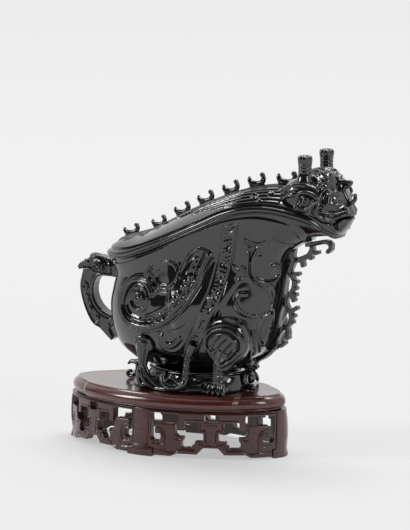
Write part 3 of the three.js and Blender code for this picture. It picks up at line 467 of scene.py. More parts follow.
def through(values, place):
    """A smooth curve through evenly spaced values, read at a place counted in values."""
    values = np.asarray(values, float)
    last = len(values) - 1
    low = np.clip(np.floor(place).astype(int), 0, last - 1)
    t = place - low
    a, b = values[np.clip(low - 1, 0, last)], values[low]
    c, d = values[low + 1], values[np.clip(low + 2, 0, last)]
    start, end = (c - a) / 2, (d - b) / 2
    return (2 * b - 2 * c + start + end) * t**3 + (3 * c - 3 * b - 2 * start - end) * t**2 + start * t + b


def height_line(points, x):
    """Height of a smoothed line given by points of rising x."""
    px, pz = np.array(points, float).T
    slope = np.zeros(len(px))
    slope[1:-1] = (pz[2:] - pz[:-2]) / (px[2:] - px[:-2])
    slope[0] = (pz[1] - pz[0]) / (px[1] - px[0])
    slope[-1] = (pz[-1] - pz[-2]) / (px[-1] - px[-2])
    x = np.clip(x, px[0], px[-1])
    i = np.clip(np.searchsorted(px, x) - 1, 0, len(px) - 2)
    span = px[i + 1] - px[i]
    t = (x - px[i]) / span
    return ((2 * t**3 - 3 * t**2 + 1) * pz[i] + (t**3 - 2 * t**2 + t) * span * slope[i]
            + (3 * t**2 - 2 * t**3) * pz[i + 1] + (t**3 - t**2) * span * slope[i + 1])


print("helpers for skins are ready")

# %% [markdown]
# ## The bowl
# The bowl is an oval that leans forward and opens into a spout. Nine stations give its rear point,
# its front point and its half width, the same as the CAD solid, and the rows between them are
# smooth. The rows and columns lie about 0.8 mm apart, fine enough for lines 2 mm wide.

# %% The bowl's own shape
BOWL_STATIONS = np.array([
    (-34, 70, 52, 70, 22), (-49.5, 81.5, 75, 82, 31), (-56.5, 98, 87, 98, 38), (-58, 116, 92, 119, 42),
    (-55.5, 131, 96, 139, 41), (-53.5, 139.5, 99, 156, 40), (-55, 145, 106, 169, 39.5),
    (-58, 149.5, 124, 179.3, 39.5), (-60, 153, 148, 183, 40),
])
SEAM = [(-60, 153), (-45, 153.8), (-29, 157.5), (0, 168.5), (37, 185), (61, 196), (80, 201.5),
        (100, 203), (120, 199.5), (136, 193.3), (148, 183)]
RIM_MIDDLE, RIM_HALF_LENGTH, RIM_HALF_WIDTH = 44, 104, 40
RIM_REAR_HEIGHT, RIM_CLIMB = 153, 30
BOWL_ROWS, BOWL_COLUMNS = 158, 540
OVAL = 0.8


def bowl_rings(levels, angles, grow=0.0):
    """Rings of the bowl at levels from 0, its bottom, to 1, its rim, grown outwards if asked."""
    places = levels * (len(BOWL_STATIONS) - 1)
    stations = [through(column, places)[:, None] for column in BOWL_STATIONS.T]
    rear_x, rear_z, front_x, front_z, half = stations
    half_length = (front_x - rear_x) / 2
    across = (1 + grow / half_length) * np.cos(angles)[None, :]
    share = (1 + across) / 2
    chord = RIM_REAR_HEIGHT + RIM_CLIMB * share
    bulge = (height_line(SEAM, RIM_MIDDLE + RIM_HALF_LENGTH * across) - chord) * levels[:, None] ** 2
    x = (rear_x + front_x) / 2 + half_length * across
    y = (half + grow) * signed_power(np.sin(angles), OVAL)[None, :]
    z = rear_z + (front_z - rear_z) * share + bulge
    return np.stack([x, np.broadcast_to(y, x.shape), z], axis=2)


def even_steps(values, points, count, closed=False):
    """Picks count values so that the points they give lie evenly along their line."""
    steps = np.linalg.norm(np.diff(points, axis=0), axis=1)
    run = np.concatenate([[0], np.cumsum(steps)])
    wanted = np.linspace(0, run[-1], count + (1 if closed else 0))
    picked = np.interp(wanted, run, values)
    return picked[:-1] if closed else picked


fine_angles = np.linspace(-np.pi, np.pi, 4001)
middle_ring = bowl_rings(np.array([0.6]), fine_angles)[0]
bowl_angles = even_steps(fine_angles, middle_ring, BOWL_COLUMNS, closed=True)
fine_levels = np.linspace(0, 1, 2001)
side_line = bowl_rings(fine_levels, np.array([-1.2]))[:, 0]
bowl_levels = even_steps(fine_levels, side_line, BOWL_ROWS)
outer = bowl_rings(bowl_levels, bowl_angles)
print("bowl rows", outer.shape)

# %% [markdown]
# The run round the bowl is counted from the middle of each side towards the spout, so that a line
# keeps its true width where the side turns away.

# %% Run round the bowl


def side_run(rings, angles):
    """Run along each ring from the middle of its side, positive towards the spout, on both sides."""
    steps = np.linalg.norm(np.roll(rings, -1, axis=1) - rings, axis=2)
    run = np.concatenate([np.zeros((len(rings), 1)), np.cumsum(steps, axis=1)[:, :-1]], axis=1)
    near = int(np.argmin(np.abs(angles + np.pi / 2)))
    far = int(np.argmin(np.abs(angles - np.pi / 2)))
    return np.where(rings[:, :, 1] < 0, run - run[:, near : near + 1], run[:, far : far + 1] - run)


bowl_run = side_run(outer, bowl_angles)
print("longest run to the spout", round(float(bowl_run.max()), 1), "mm")

# %% [markdown]
# The carving on the side follows old bronze vessels: a large coiled wing, whose tip sweeps up into a
# beaded band, a serpent's body that falls from the rim, and small scrolls between them. The main
# lines are the ridges of the CAD solid, and the scene gives each its double border, beads and cuts.

# %% Main lines on the bowl
WING = [(-20.5, 132), (-27, 138.8), (-37, 141.6), (-47, 139), (-52.6, 131), (-54, 121), (-50.5, 111.5),
        (-42.5, 105.2), (-31, 102.8), (-19, 104.2), (-8, 108.6), (2, 116), (10.5, 125.5), (16.5, 136),
        (20.5, 147), (23, 157), (27, 166)]
WING_EYE = [(-37.5, 138), (-30.5, 136.4), (-25, 131), (-23.3, 123.2), (-28.2, 117.2), (-35.5, 117.6),
            (-41, 122.3), (-40.5, 128.3), (-35.5, 130.2), (-32, 127), (-33.5, 123.6)]
WING_FIELD = [(-23, 107.5), (-12, 112.5), (-2, 119), (6, 128), (12, 139), (15.5, 150), (19, 160)]
CREST = [(-29.3, 152.8), (-32.5, 146.6), (-28.4, 141.1), (-22.2, 136.6), (-13.6, 133.4), (-5, 133.9),
         (0, 138.3), (2.7, 143.8), (3.4, 150.3), (5.5, 158.8), (9, 165), (14, 169.6), (19, 171),
         (26.4, 168.8)]
CREST_INNER = [(-20.8, 150.4), (-20.8, 144.2), (-16, 139.6), (-7.7, 139.4), (-2.7, 143.4), (-0.3, 148.4),
               (-1, 153), (-4.6, 156.9), (-11.1, 158.6), (-17.2, 157.7)]
SERPENT = [(38.6, 192), (41.6, 178), (41.7, 168), (40.2, 158), (38.4, 146), (36.6, 134), (33, 122.5),
           (29.6, 113), (26, 105), (21.5, 97), (17, 88), (13.6, 79)]
FRONT_LOOP = [(67.2, 175.3), (64.2, 168.5), (62.7, 160.7), (65.1, 151.7), (69.5, 146.9), (74.8, 145.5),
              (80.5, 145.3), (85.4, 147.7), (88.4, 150.9), (87, 156.3), (83.5, 159.8), (79, 159.2)]
OUTER_LOOP = [(59.4, 170.1), (59.6, 160), (60.6, 152.2), (64.8, 146.4), (70.8, 141.9), (76.3, 137.3),
              (79.4, 132.3), (79.7, 126.8), (77.3, 122.2)]
SCROLL = [(61, 136.5), (56.6, 136), (55.5, 131.3), (58.2, 126), (63.5, 122.2), (69, 120.6),
          (74.4, 120.6), (79.3, 124), (81.2, 129)]
CRESCENT = [(-9.5, 95.8), (-8, 91.4), (-3.5, 89.2), (1.5, 90.8), (7.1, 96.2)]
print("main lines are drawn")

# %% All carving on the bowl
BOWL_CARVING = [
    # sloping grounds: each rises towards its lower border, so that its face looks up
    ("ramp", 84, 4.6, [(-4, 115), (8, 118), (20, 120.5), (33, 119.5), (41, 116)]),
    ("ramp", 58, 4.1, [(40, 118), (50, 118), (62, 117), (78, 118), (91, 121)]),
    ("ramp", 34, 2.2, [(-20, 107), (-10, 113.5), (-1, 120), (6.5, 129), (12, 140), (16, 152)]),
    # the coiled wing, with its double border
    ("field", 27, 0.7, [(-37, 124)]),
    ("field", 9, 0.8, WING_FIELD),
    ("groove", 3.4, 1.8, beside(WING, -3.9)),
    ("ridge", 5.8, 3.1, WING),
    ("groove", 1.7, 2.0, beside(WING, -0.2)),
    ("groove", 3.2, 1.9, beside(WING, 4.2)),
    ("ridge", 2.2, 1.5, beside(WING[:9], 6.6)),
    ("ridge", 1.5, 1.1, beside(WING[6:], -4.3)),
    ("dome", 15, 1.9, [(-35.5, 123.5), (-35.4, 123.6)]),
    ("groove", 2.8, 2.4, WING_EYE),
    ("ridge", 3.9, 3.0, WING_EYE),
    ("groove", 1.3, 1.3, beside(WING_EYE[:6], 0.3)),
    ("studs", 4.5, 1.6, [(-36.5, 124.6)]),
    # beads and curls in the wing's field
    ("rings", 5.0, 1.4, beads_along(WING_FIELD, 8.2, 7)),
    ("studs", 2.6, 1.3, beads_along(WING_FIELD, 8.2, 7)),
    ("studs", 2.4, 1.1, beads_along(beside(WING_FIELD, 3.3), 5.3, 3)),
    ("studs", 2.0, 0.9, beads_along(beside(WING_FIELD, -3.0), 5.3, 5)),
    ("ridge", 2.2, 2.0, beside(WING_FIELD, 5.2)),
    # the crest above it
    ("ridge", 2.6, 1.9, CREST),
    ("groove", 1.5, 1.1, beside(CREST, 1.9)),
    ("ridge", 2.0, 1.7, CREST_INNER),
    ("groove", 1.3, 0.9, beside(CREST_INNER, -1.6)),
    ("groove", 2.0, 1.2, [(8, 161), (14, 165.4), (22, 164.5)]),
    # the crescent by the hind leg
    ("ridge", 5.6, 2.3, CRESCENT),
    ("groove", 1.8, 1.6, CRESCENT),
    ("ridge", 1.6, 1.2, [(-12, 90), (-6, 84.8), (0, 84.0), (6, 87), (10.5, 92)]),
    ("groove", 1.5, 1.2, [(-14, 99), (-4, 101), (6, 104), (14, 109)]),
    # the serpent, a raised band with blotches and leaves between two borders
    *alike("groove", 2.2, 1.1, beside(SERPENT, 5.8), beside(SERPENT, -5.8)),
    ("ridge", 1.9, 1.7, beside(SERPENT, 4.3)),
    ("ridge", 1.8, 1.5, beside(SERPENT, -4.3)),
    ("groove", 6.4, 1.2, SERPENT),
    ("dome", 5.5, 1.3, [(40.8, 186), (41.4, 184)]),
    ("dome", 4.6, 1.1, [(42.6, 172), (42.2, 169)]),
    ("dome", 6.2, 1.5, [(39.4, 157), (39, 153.6)]),
    ("dome", 4.4, 1.0, [(38.9, 145), (38, 141.8)]),
    ("dome", 5.6, 1.4, [(34.6, 131), (33.9, 127.4)]),
    ("dome", 4.6, 1.1, [(31.6, 117.6), (30.2, 114.6)]),
    ("dome", 5.4, 1.3, [(25.4, 103.8), (23.6, 100.4)]),
    ("rings", 4.6, 0.7, [(40.2, 178.6), (41.6, 163.4), (36.4, 138), (33.8, 121.6), (26.6, 108)]),
    ("studs", 1.9, 0.9, [(40.2, 178.6), (42.6, 162), (36.4, 138), (32.4, 123), (28.4, 108.6),
                         (20.6, 95)]),
    ("studs", 2.3, 0.9, beads_along(beside(SERPENT, 2.4), 3.4, 3)),
    ("studs", 2.1, 0.8, beads_along(beside(SERPENT, -2.3), 3.1, 4)),
    ("studs", 1.8, 0.7, beads_along(SERPENT, 4.3, 5)),
    # the crest with its loop below the spout
    ("dome", 22, 0.7, [(75, 160)]),
    ("groove", 1.8, 1.2, [(54.7, 179.1), (60.6, 176.8), (66.9, 175.8), (69.2, 178.5)]),
    ("ridge", 1.7, 1.2, [(54.7, 181), (60.6, 178.8), (66.9, 177.8), (71, 180.6), (76, 179.8)]),
    ("groove", 1.6, 1.0, [(74.2, 183.2), (80.1, 179.2), (87.2, 177.1), (95, 176)]),
    ("rings", 3.4, 0.9, [(59.8, 173), (65, 173.8), (72, 170.4), (77, 171), (82, 172.4), (69.5, 166.6)]),
    ("ridge", 3.0, 2.3, FRONT_LOOP),
    ("groove", 1.4, 1.3, beside(FRONT_LOOP, -2.0)),
    ("ridge", 2.8, 2.1, OUTER_LOOP),
    ("groove", 1.6, 1.4, beside(OUTER_LOOP, 2.1)),
    ("ridge", 1.7, 1.5, [(80, 143), (84, 139.6), (86, 134), (84.6, 128)]),
    # the little curl beside the serpent
    ("ridge", 2.2, 1.9, [(48.8, 158.3), (51.9, 155.1), (51.6, 149.8), (54.4, 146.9), (57.6, 149.9),
                         (56, 157.9)]),
    # the double-lined scroll
    ("groove", 2.2, 1.2, beside(SCROLL, -2.6)),
    ("ridge", 3.6, 2.4, SCROLL),
    ("groove", 1.2, 1.3, SCROLL),
    ("ridge", 1.8, 1.9, [(61.8, 133.1), (60.1, 129.6), (64.5, 125.1), (69.4, 123), (74.2, 123.2),
                         (76.8, 126.7)]),
    ("ridge", 1.7, 1.5, [(55.1, 122.5), (60.5, 116.4), (67.9, 113.6), (74.5, 115.2), (80.6, 120)]),
    # ribs and a long leaf towards the front
    ("ridge", 1.9, 1.4, [(69.1, 112), (68.2, 101.7), (66, 88), (65, 80)]),
    ("groove", 1.5, 1.2, [(71.2, 112), (70.2, 101.7), (68.6, 88)]),
    ("ridge", 1.8, 1.4, [(73.6, 113), (73.2, 103.7), (74.6, 91.2), (76, 84)]),
    ("dome", (8, 14), 1.7, [(86, 122), (84, 104), (82, 97)]),
    ("groove", 1.9, 1.6, [(84.9, 133), (82.8, 121.3), (78.4, 113.2), (76, 106), (75.5, 98.8),
                          (77.3, 91.6), (84.7, 93.4), (92.4, 102.1), (95.6, 116.2), (96.4, 130)]),
]
carved_height = carve_grid(bowl_run, outer[:, :, 2], BOWL_CARVING)
print("carving runs from", carved_height.min().round(2), "to", carved_height.max().round(2), "mm")

# %% [markdown]
# A plain band about 4 mm high runs under the lid, cut back 2.4 mm so that the lid's edge throws it into
# shadow. A plain inner wall and floor close the shell. Where the flange
# runs down the front the carving fades out, because the two are one stone there.

# %% Wrap the bowl
BAND_HEIGHT, BAND_DEPTH = 4.2, 2.4
WALL, INNER_BOTTOM_LEVEL = 5, 0.25
below_rim = outer[-1, :, 2] - outer[:, :, 2]
recess = BAND_DEPTH * np.clip((BAND_HEIGHT - below_rim) / 0.7, 0, 1)
keep = np.clip((below_rim - BAND_HEIGHT - 0.2) / 2.4, 0, 1)
keep = keep * np.clip((np.abs(outer[:, :, 1]) - 3) / 3, 0, 1)
outer = outer + sheet_normals(outer) * (carved_height * keep - recess)[:, :, None]
inner_wall = bowl_rings(np.linspace(1, INNER_BOTTOM_LEVEL, 13), bowl_angles, -WALL)
inner_floor = bowl_rings(np.array([INNER_BOTTOM_LEVEL]), bowl_angles, -2 * WALL) - np.array([0, 0, 8])
bowl_piece = wrap_sheet("bowl_carved", np.concatenate([outer, inner_wall, inner_floor]))
finish_stone(bowl_piece, "vessel", "bowl")

# %% [markdown]
# ## The lid
# The lid is a low roof with a thick double-rounded edge. Rings run from the locating rim inside,
# round the edge and up to the spine.

# %% The lid's own shape
SPINE = [(-62.5, 160.5), (-60, 162), (-48, 169), (-18, 179), (3, 190), (26, 201.5), (50, 211.5),
         (72, 218.5), (100, 222), (118, 219), (136, 207), (150.5, 191)]
LID_OVERHANG, LID_BAND, LID_THICKNESS = 2.5, 7.0, 5.0


def lid_outline(scale, inset, angles):
    """The lid's plan, scaled about its middle and inset from its edge."""
    out = LID_OVERHANG - inset
    x = RIM_MIDDLE + scale * (RIM_HALF_LENGTH + out) * np.cos(angles)
    y = scale * (RIM_HALF_WIDTH + out) * signed_power(np.sin(angles), OVAL)
    return x, y


def lid_top(x, y):
    """Height of the roof over a place of the plan."""
    share_x = (x - RIM_MIDDLE) / (RIM_HALF_LENGTH + LID_OVERHANG)
    half = (RIM_HALF_WIDTH + LID_OVERHANG) * np.maximum(1e-6, 1 - share_x**2) ** (OVAL / 2)
    share = np.minimum(1, np.abs(y) / half)
    seam = height_line(SEAM, x)
    rise = np.maximum(0, height_line(SPINE, x) - seam - LID_BAND)
    return seam + LID_BAND + rise * (1 - share**2.2) ** 0.9


def lid_ring(inset, lift, angles):
    x, y = lid_outline(1, inset, angles)
    return np.stack([x, y, height_line(SEAM, x) + lift], axis=1)


fine_ring = lid_ring(0, 0, fine_angles)
lid_angles = even_steps(fine_angles, fine_ring, 520, closed=True)
edge_profile = [(3.4, 0.4), (2.3, 0.35), (1.5, 0.55), (1.05, 0.95), (1.0, 1.4), (1.25, 1.8),
                (1.45, 2.05), (1.1, 2.3), (0.5, 2.7), (0.1, 3.4), (0.0, 4.2), (0.15, 5.0), (0.55, 5.8),
                (1.2, 6.4), (2.1, 6.85), (3.2, 7.05)]
edge_rings = [lid_ring(inset, lift, lid_angles) for inset, lift in edge_profile]
top_rings = []
for scale in np.linspace(0.962, 0.008, 112):
    x, y = lid_outline(scale, 0, lid_angles)
    top_rings.append(np.stack([x, y, lid_top(x, y)], axis=1))
lid_rings = np.array(edge_rings + top_rings)
print("lid rows", lid_rings.shape)

# %% [markdown]
# Along the spine run two rows of faint long scales. Towards the head they give way to the flowing
# ridges of a mane. Places on the lid are its length and the distance out from the spine.

# %% Lines carved on the lid
LID_CARVING = []
for row, (offset, length, gap) in enumerate([(7.6, 9.0, 4.0), (13.0, 7.5, 6.5)]):
    x = -50 + row * 8
    while x < 58 - row * 16:
        scale_line = [(x, offset), (x + length / 2, offset + 1.2), (x + length, offset + 0.2)]
        LID_CARVING.append(("groove", 2.6, 1.0, scale_line))
        LID_CARVING.append(("ridge", 2.4, 0.7, [(p, q + 2.3) for p, q in scale_line]))
        x += length + gap
MANE = [
    [(-6, 13), (20, 15), (44, 18), (72, 18.4), (106, 13)],
    [(12, 20), (36, 22.6), (62, 24), (86, 21.6), (108, 17)],
    [(30, 27), (52, 29), (74, 28.8), (94, 25.6), (108, 21.6)],
    [(50, 33), (68, 34.4), (88, 31.8), (108, 27)],
    [(64, 37.6), (80, 37.4), (94, 34.4), (108, 31)],
]
for line in MANE:
    LID_CARVING.append(("ridge", 3.4, 1.1, line))
    LID_CARVING.append(("groove", 2.2, 0.9, beside(line, 2.5)))
LID_CARVING += [
    ("ridge", 2.8, 1.1, [(-52, 4.4), (-20, 4.4), (20, 4.4), (60, 4.4), (104, 4.4)]),
    ("groove", 2.0, 1.2, [(52, 9), (66, 11.4), (80, 10), (94, 7.4), (106, 7)]),
    ("rings", 6.4, 1.5, [(99, 24.5), (86, 29), (104, 15)]),
    ("studs", 3.6, 1.5, [(99, 24.5), (86, 29), (104, 15), (93, 34)]),
]
lid_height = carve_grid(lid_rings[:, :, 0], np.abs(lid_rings[:, :, 1]), LID_CARVING)
lid_height[: len(edge_rings) + 3] = 0  # the edge stays plain
lid_rings = lid_rings + sheet_normals(lid_rings) * lid_height[:, :, None]
print("lid carving reaches", round(float(lid_height.max()), 2), "mm")

# %% Wrap the lid
SKIRT_CLEARANCE, SKIRT_THICKNESS, SKIRT_DROP = 0.6, 3, -4
skirt_outer = LID_OVERHANG + WALL + SKIRT_CLEARANCE
skirt_inner = skirt_outer + SKIRT_THICKNESS
under_rings = []
for scale in np.linspace(0.1, 1, 8):
    x, y = lid_outline(scale, skirt_inner, lid_angles)
    under = np.maximum(lid_top(x, y) - LID_THICKNESS, height_line(SEAM, x) - 3)
    under_rings.append(np.stack([x, y, under], axis=1))
skirt_rings = [
    lid_ring(inset, lift, lid_angles)
    for inset, lift in ((skirt_inner, SKIRT_DROP), (skirt_outer, SKIRT_DROP), (skirt_outer, 0.35))
]
lid_piece = wrap_sheet("lid_carved", np.concatenate([np.array(under_rings + skirt_rings), lid_rings]))
finish_stone(lid_piece, "lid", "lid_shell")

# %% [markdown]
# ## Smaller carved pieces
# A carver blocks out a leg or a hook as rods and lumps, lets them run together, and then cuts lines
# into them. The same is done here: rods are bevelled curves with a radius at each point, lumps are
# stretched spheres, a voxel remesh melts them into one even skin, and smoothing takes off the edges.

# %% Rods and lumps


def select_only(piece):
    bpy.ops.object.select_all(action="DESELECT")
    piece.select_set(True)
    bpy.context.view_layer.objects.active = piece


def empty_curve(dimensions):
    bpy.ops.object.select_all(action="DESELECT")
    bpy.ops.curve.primitive_bezier_curve_add()
    curve = bpy.context.object.data
    curve.splines.clear()
    curve.dimensions = dimensions
    return curve


def rod(points, radii, depth=1.0):
    """A rounded rod along smooth points (x, y, z). Depth stretches it across y, about its own middle."""
    line = smooth_line(points, 4)
    sizes = np.interp(np.linspace(0, 1, len(line)), np.linspace(0, 1, len(radii)), radii)
    curve = empty_curve("3D")
    spline = curve.splines.new("POLY")
    spline.points.add(len(line) - 1)
    for point, spot, size in zip(spline.points, to_metres(line), sizes):
        point.co = (*spot, 1)
        point.radius = size
    curve.bevel_depth = 0.001
    curve.bevel_resolution = 4
    curve.use_fill_caps = True
    bpy.ops.object.convert(target="MESH")
    piece = bpy.context.object
    if depth != 1:
        middle = line[:, 1].mean() / 1000
        for vertex in piece.data.vertices:
            vertex.co.y = middle + (vertex.co.y - middle) * depth
    return piece


def lump(x, y, z, length, depth, height, tilt=0.0):
    """A rounded lump of stone, in the drawing's millimetres, with its place in its mesh."""
    bpy.ops.object.select_all(action="DESELECT")
    bpy.ops.mesh.primitive_ico_sphere_add(subdivisions=4, radius=1)
    piece = bpy.context.object
    piece.scale = (length / 1000, depth / 1000, height / 1000)
    piece.rotation_euler = (0, tilt, 0)
    piece.location = Vector(to_metres([x, y, z]))
    bpy.ops.object.transform_apply(location=True, rotation=True, scale=True)
    return piece


print("rods and lumps are ready")

# %% Joining, melting and cutting
SAME_PLACE = 1e-6  # metres
SIDE_FADE = (0.2, 0.55)  # how far a face must look sideways for its lines to begin, and to be whole


def join_pieces(pieces):
    bpy.ops.object.select_all(action="DESELECT")
    for piece in pieces:
        piece.select_set(True)
    bpy.context.view_layer.objects.active = pieces[0]
    if len(pieces) > 1:
        bpy.ops.object.join()
    edit_mesh(merge=SAME_PLACE)
    return bpy.context.object


def copy_of(node_name):
    """A merged copy of a CAD node."""
    copy = frame["nodes"][node_name].copy()
    copy.data = copy.data.copy()
    copy.parent = None
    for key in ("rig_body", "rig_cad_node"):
        del copy[key]
    link_object(copy)
    return join_pieces([copy])


def apply_modifier(piece, kind, **settings):
    select_only(piece)
    modifier = piece.modifiers.new(kind.lower(), kind)
    for name, value in settings.items():
        setattr(modifier, name, value)
    bpy.ops.object.modifier_apply(modifier=modifier.name)


def even_skin(piece, voxel, rounds):
    """Melts a piece into one even skin, smoothed in rounds. Voxel is in millimetres."""
    apply_modifier(piece, "REMESH", mode="VOXEL", voxel_size=voxel / 1000)
    apply_modifier(piece, "SMOOTH", factor=0.5, iterations=rounds)


def melt(name, pieces, voxel, rounds):
    """Joins pieces into one with an even skin."""
    piece = join_pieces(pieces)
    piece.name = name
    even_skin(piece, voxel, rounds)
    select_only(piece)
    bpy.ops.object.shade_smooth()
    return piece


def cut_lines(piece, strokes):
    """Carves lines into the faces that look to either side."""
    co, normals = vertex_data(piece)
    weight = np.clip((np.abs(normals[:, 1]) - SIDE_FADE[0]) / (SIDE_FADE[1] - SIDE_FADE[0]), 0, 1)
    height = carve(to_millimetres(co)[:, [0, 2]], strokes) * weight / 1000
    move_vertices(piece, co + normals * height[:, None])


def keep_above(piece, level):
    """Flattens what reaches below a level, in millimetres, onto it."""
    co = vertex_data(piece)[0]
    co[:, 2] = np.maximum(co[:, 2], level / 1000)
    move_vertices(piece, co)


def in_middle(points):
    """Points (x, z) placed on the middle plane."""
    return [(x, 0, z) for x, z in points]


def on_side(points, sign):
    """Points (x, y, z) of the far side, or mirrored to the near side, where the sign is -1."""
    return [(x, sign * y, z) for x, y, z in points]


SIDES = (("near", -1), ("far", 1))
STAND_TOP = 51.3  # the foot's underside, a hair above the board
print("melting and cutting are ready")

# %% [markdown]
# ### Forelegs
# The foreleg is a big haunch, bordered twice and cut with long feathers, above a thin ankle with a
# spiral fetlock and four claws.

# %% Carve the forelegs
HAUNCH = [(46.7, 90.5), (45.6, 98.3), (49.8, 105), (58.7, 110.2), (69, 111.5), (77.5, 108), (83.5, 101),
          (83, 93.5), (78, 86.5), (69.3, 79.1), (61.3, 74.6)]


def shrunk(points, share, x, z):
    """A line drawn smaller about the point x, z."""
    return [(x + (a - x) * share, z + (b - z) * share) for a, b in points]


FORE_LEG_CARVING = [
    ("groove", 2.2, 1.8, shrunk(HAUNCH, 0.95, 64, 94)),
    ("ridge", 2.8, 1.6, shrunk(HAUNCH, 0.84, 64, 94)),
    ("groove", 2.0, 1.7, shrunk(HAUNCH, 0.73, 64, 94)),
    ("ridge", 2.2, 1.2, shrunk(HAUNCH, 0.62, 64, 93)),
    *alike("groove", 1.7, 1.3, [(56, 84), (61, 94), (68, 101)], [(60, 81), (66, 91), (73, 98)],
           [(64, 79.5), (70, 88), (76.5, 94)]),
    ("groove", 1.6, 1.2, [(52.5, 87), (57, 97), (63, 103)]),
    ("rings", 6, 1.3, [(54.5, 90)]),
    *alike("groove", 1.4, 1.1, [(53.5, 78), (54.5, 71), (53, 63)], [(57, 77), (57.3, 70), (56.6, 66)]),
    ("ridge", 1.7, 1.3, coil(58.4, 65.2, 0.8, 3.2, 40, 1.4)),
]
HAUNCH_FACE = 0.0425  # metres from the middle
HAUNCH_SWELL = 0.25  # the share that is left of what stands beyond it
FAR_TUCK = 4.5


def foreleg(side, sign):
    """The far leg is tucked back and in, more so towards its paw."""
    tuck = 0 if side == "near" else FAR_TUCK

    def at(x, y, z):
        share = min(1, max(0, (84 - z) / 16))
        return x - tuck * share, sign * (y - tuck * 0.6 * share), z

    haunch = lump(63, sign * 33, 98.5, 20.5, 14, 21.5, 0.35)
    for vertex in haunch.data.vertices:
        if sign * vertex.co.y > HAUNCH_FACE:
            vertex.co.y = sign * (HAUNCH_FACE + HAUNCH_SWELL * (sign * vertex.co.y - HAUNCH_FACE))
    parts = [
        haunch,
        rod([at(64, 34, 90), at(60.5, 34, 81), at(57, 33, 73.5), at(54.6, 32, 67.4), at(53.6, 31, 61)],
            [13.5, 10.5, 6.6, 4.8, 4.6], 0.8),
        lump(*at(53.4, 28.5, 55.6), 8.2, 5.6, 5.2),
        lump(*at(58.4, 32.4, 65.2), 3.6, 3.4, 3.6),
    ]
    for x, lean in ((48.4, -1.2), (51.8, -0.4), (55.2, 0.6), (58.4, 1.3)):
        parts.append(rod([at(x, 31.5, 61.5), at(x + lean, 33.6, 58), at(x + lean * 1.5, 34.6, 54.6),
                          at(x + lean * 1.7, 35.4, 52.2)], [1.5, 1.75, 1.8, 0.9]))
    leg = melt(f"fore_leg_carved_{side}", parts, 0.45, 3)
    cut_lines(leg, FORE_LEG_CARVING)
    keep_above(leg, STAND_TOP)
    finish_stone(leg, "vessel", f"fore_leg_{side}")


for side, sign in SIDES:
    foreleg(side, sign)

# %% [markdown]
# ### Hind legs
# The hind leg has a scroll on its hip, a fluted column that narrows to the ankle, and a foot of
# three long feathers that sweep forward.

# %% Carve the hind legs
HIND_LEG_CARVING = [
    *alike("groove", 1.5, 1.2, [(-17.5, 84), (-16, 77), (-15.2, 70)],
           [(-13.6, 86), (-13.4, 78), (-13.6, 71)], [(-9.8, 84), (-11, 77), (-12, 71)]),
    *alike("groove", 1.4, 1.1, [(-15.8, 67), (-13.6, 61), (-10.6, 56)],
           [(-12.2, 67), (-9.4, 61.4), (-4.6, 56)]),
]
HIND_LEG_RODS = [
    # the column, the scroll on the hip and its eye
    ([(-13.6, 32, 88), (-13.6, 33.2, 82), (-13.7, 34, 76), (-13.9, 34.4, 70), (-13.8, 34.5, 65)],
     [7.6, 6.4, 4.6, 3.5, 3.6], 0.9),
    ([(-20.9, 34, 85.5), (-20.4, 35, 89.6), (-17.6, 35.8, 92.8), (-13.6, 36, 93.8), (-9.2, 35.8, 92.4),
      (-6.4, 35, 88.6), (-5.6, 34, 84)], [0.9, 1.5, 1.8, 1.9, 1.8, 1.6, 0.9], 1),
    ([(-17.6, 37.3, 87.4), (-15.8, 38, 90), (-12.4, 38, 90.2), (-10.6, 37.8, 87.6), (-12.6, 37.8, 85.6),
      (-14.4, 37.8, 86.8)], [0.9, 1.2, 1.3, 1.3, 1.2, 0.9], 1),
    # the three feathers of the foot
    ([(-15.8, 34.5, 69), (-17.2, 34.8, 62), (-15, 35.2, 55.4), (-11, 35.4, 53)],
     [2.6, 2.8, 2.8, 1.4], 1),
    ([(-14, 35, 69), (-12.6, 36, 62.5), (-8.6, 36.8, 56.6), (-3.2, 37, 53)],
     [2.4, 2.6, 2.4, 1.0], 1),
    ([(-11.8, 34.4, 69), (-8.2, 35.2, 62.4), (-2.8, 36, 57.4), (3.4, 36.6, 53.4)],
     [2.2, 2.3, 2.0, 0.8], 1),
]
for side, sign in SIDES:
    hip, sole = lump(-13.6, sign * 30, 86, 8.6, 8.4, 9.5), lump(-12, sign * 32, 54.6, 9, 6, 3.8)
    rods = [rod(on_side(points, sign), radii, depth) for points, radii, depth in HIND_LEG_RODS]
    leg = melt(f"hind_leg_carved_{side}", [hip, *rods, sole], 0.45, 4)
    cut_lines(leg, HIND_LEG_CARVING)
    keep_above(leg, STAND_TOP)
    finish_stone(leg, "vessel", f"hind_leg_{side}")

# %% [markdown]
# ### Serpent struts
# Each serpent's body leaves the bowl as a thin strut, comes down to the foot and turns back in one
# big curl that lies against the foot.

# %% Carve the struts
STRUT_PATH = [(32.5, 33.5, 92), (30.1, 33.6, 87), (28, 33.4, 80.9), (26.5, 33.4, 73.6), (26, 34, 67.2),
              (25.8, 34.8, 62), (24, 35.8, 57.8), (19, 36.4, 55), (12.5, 36.6, 55), (7, 36, 57.6),
              (4.4, 34.6, 62), (5.4, 33, 66.6)]
STRUT_RADII = [4.4, 4.0, 3.2, 2.8, 2.7, 2.8, 3.0, 3.4, 3.6, 3.3, 2.5, 1.1]
STRUT_FIN = [(8.5, 36, 60.6), (13, 35.6, 63), (17.6, 35.4, 60.8), (21.4, 35.6, 58.4)]
STRUT_CARVING = [
    ("groove", 1.5, 1.2, [(5, 64), (7.2, 59.4), (12.6, 56.6), (19, 56.6), (23, 59.4)]),
    ("studs", 3.0, 0.9, [(29.4, 85), (28, 79.5), (27, 74), (26.4, 68.6), (26, 63.4)]),
    ("rings", 4.6, 0.8, [(28.7, 82.2), (27.4, 76.8), (26.6, 71.2), (26.2, 66)]),
]
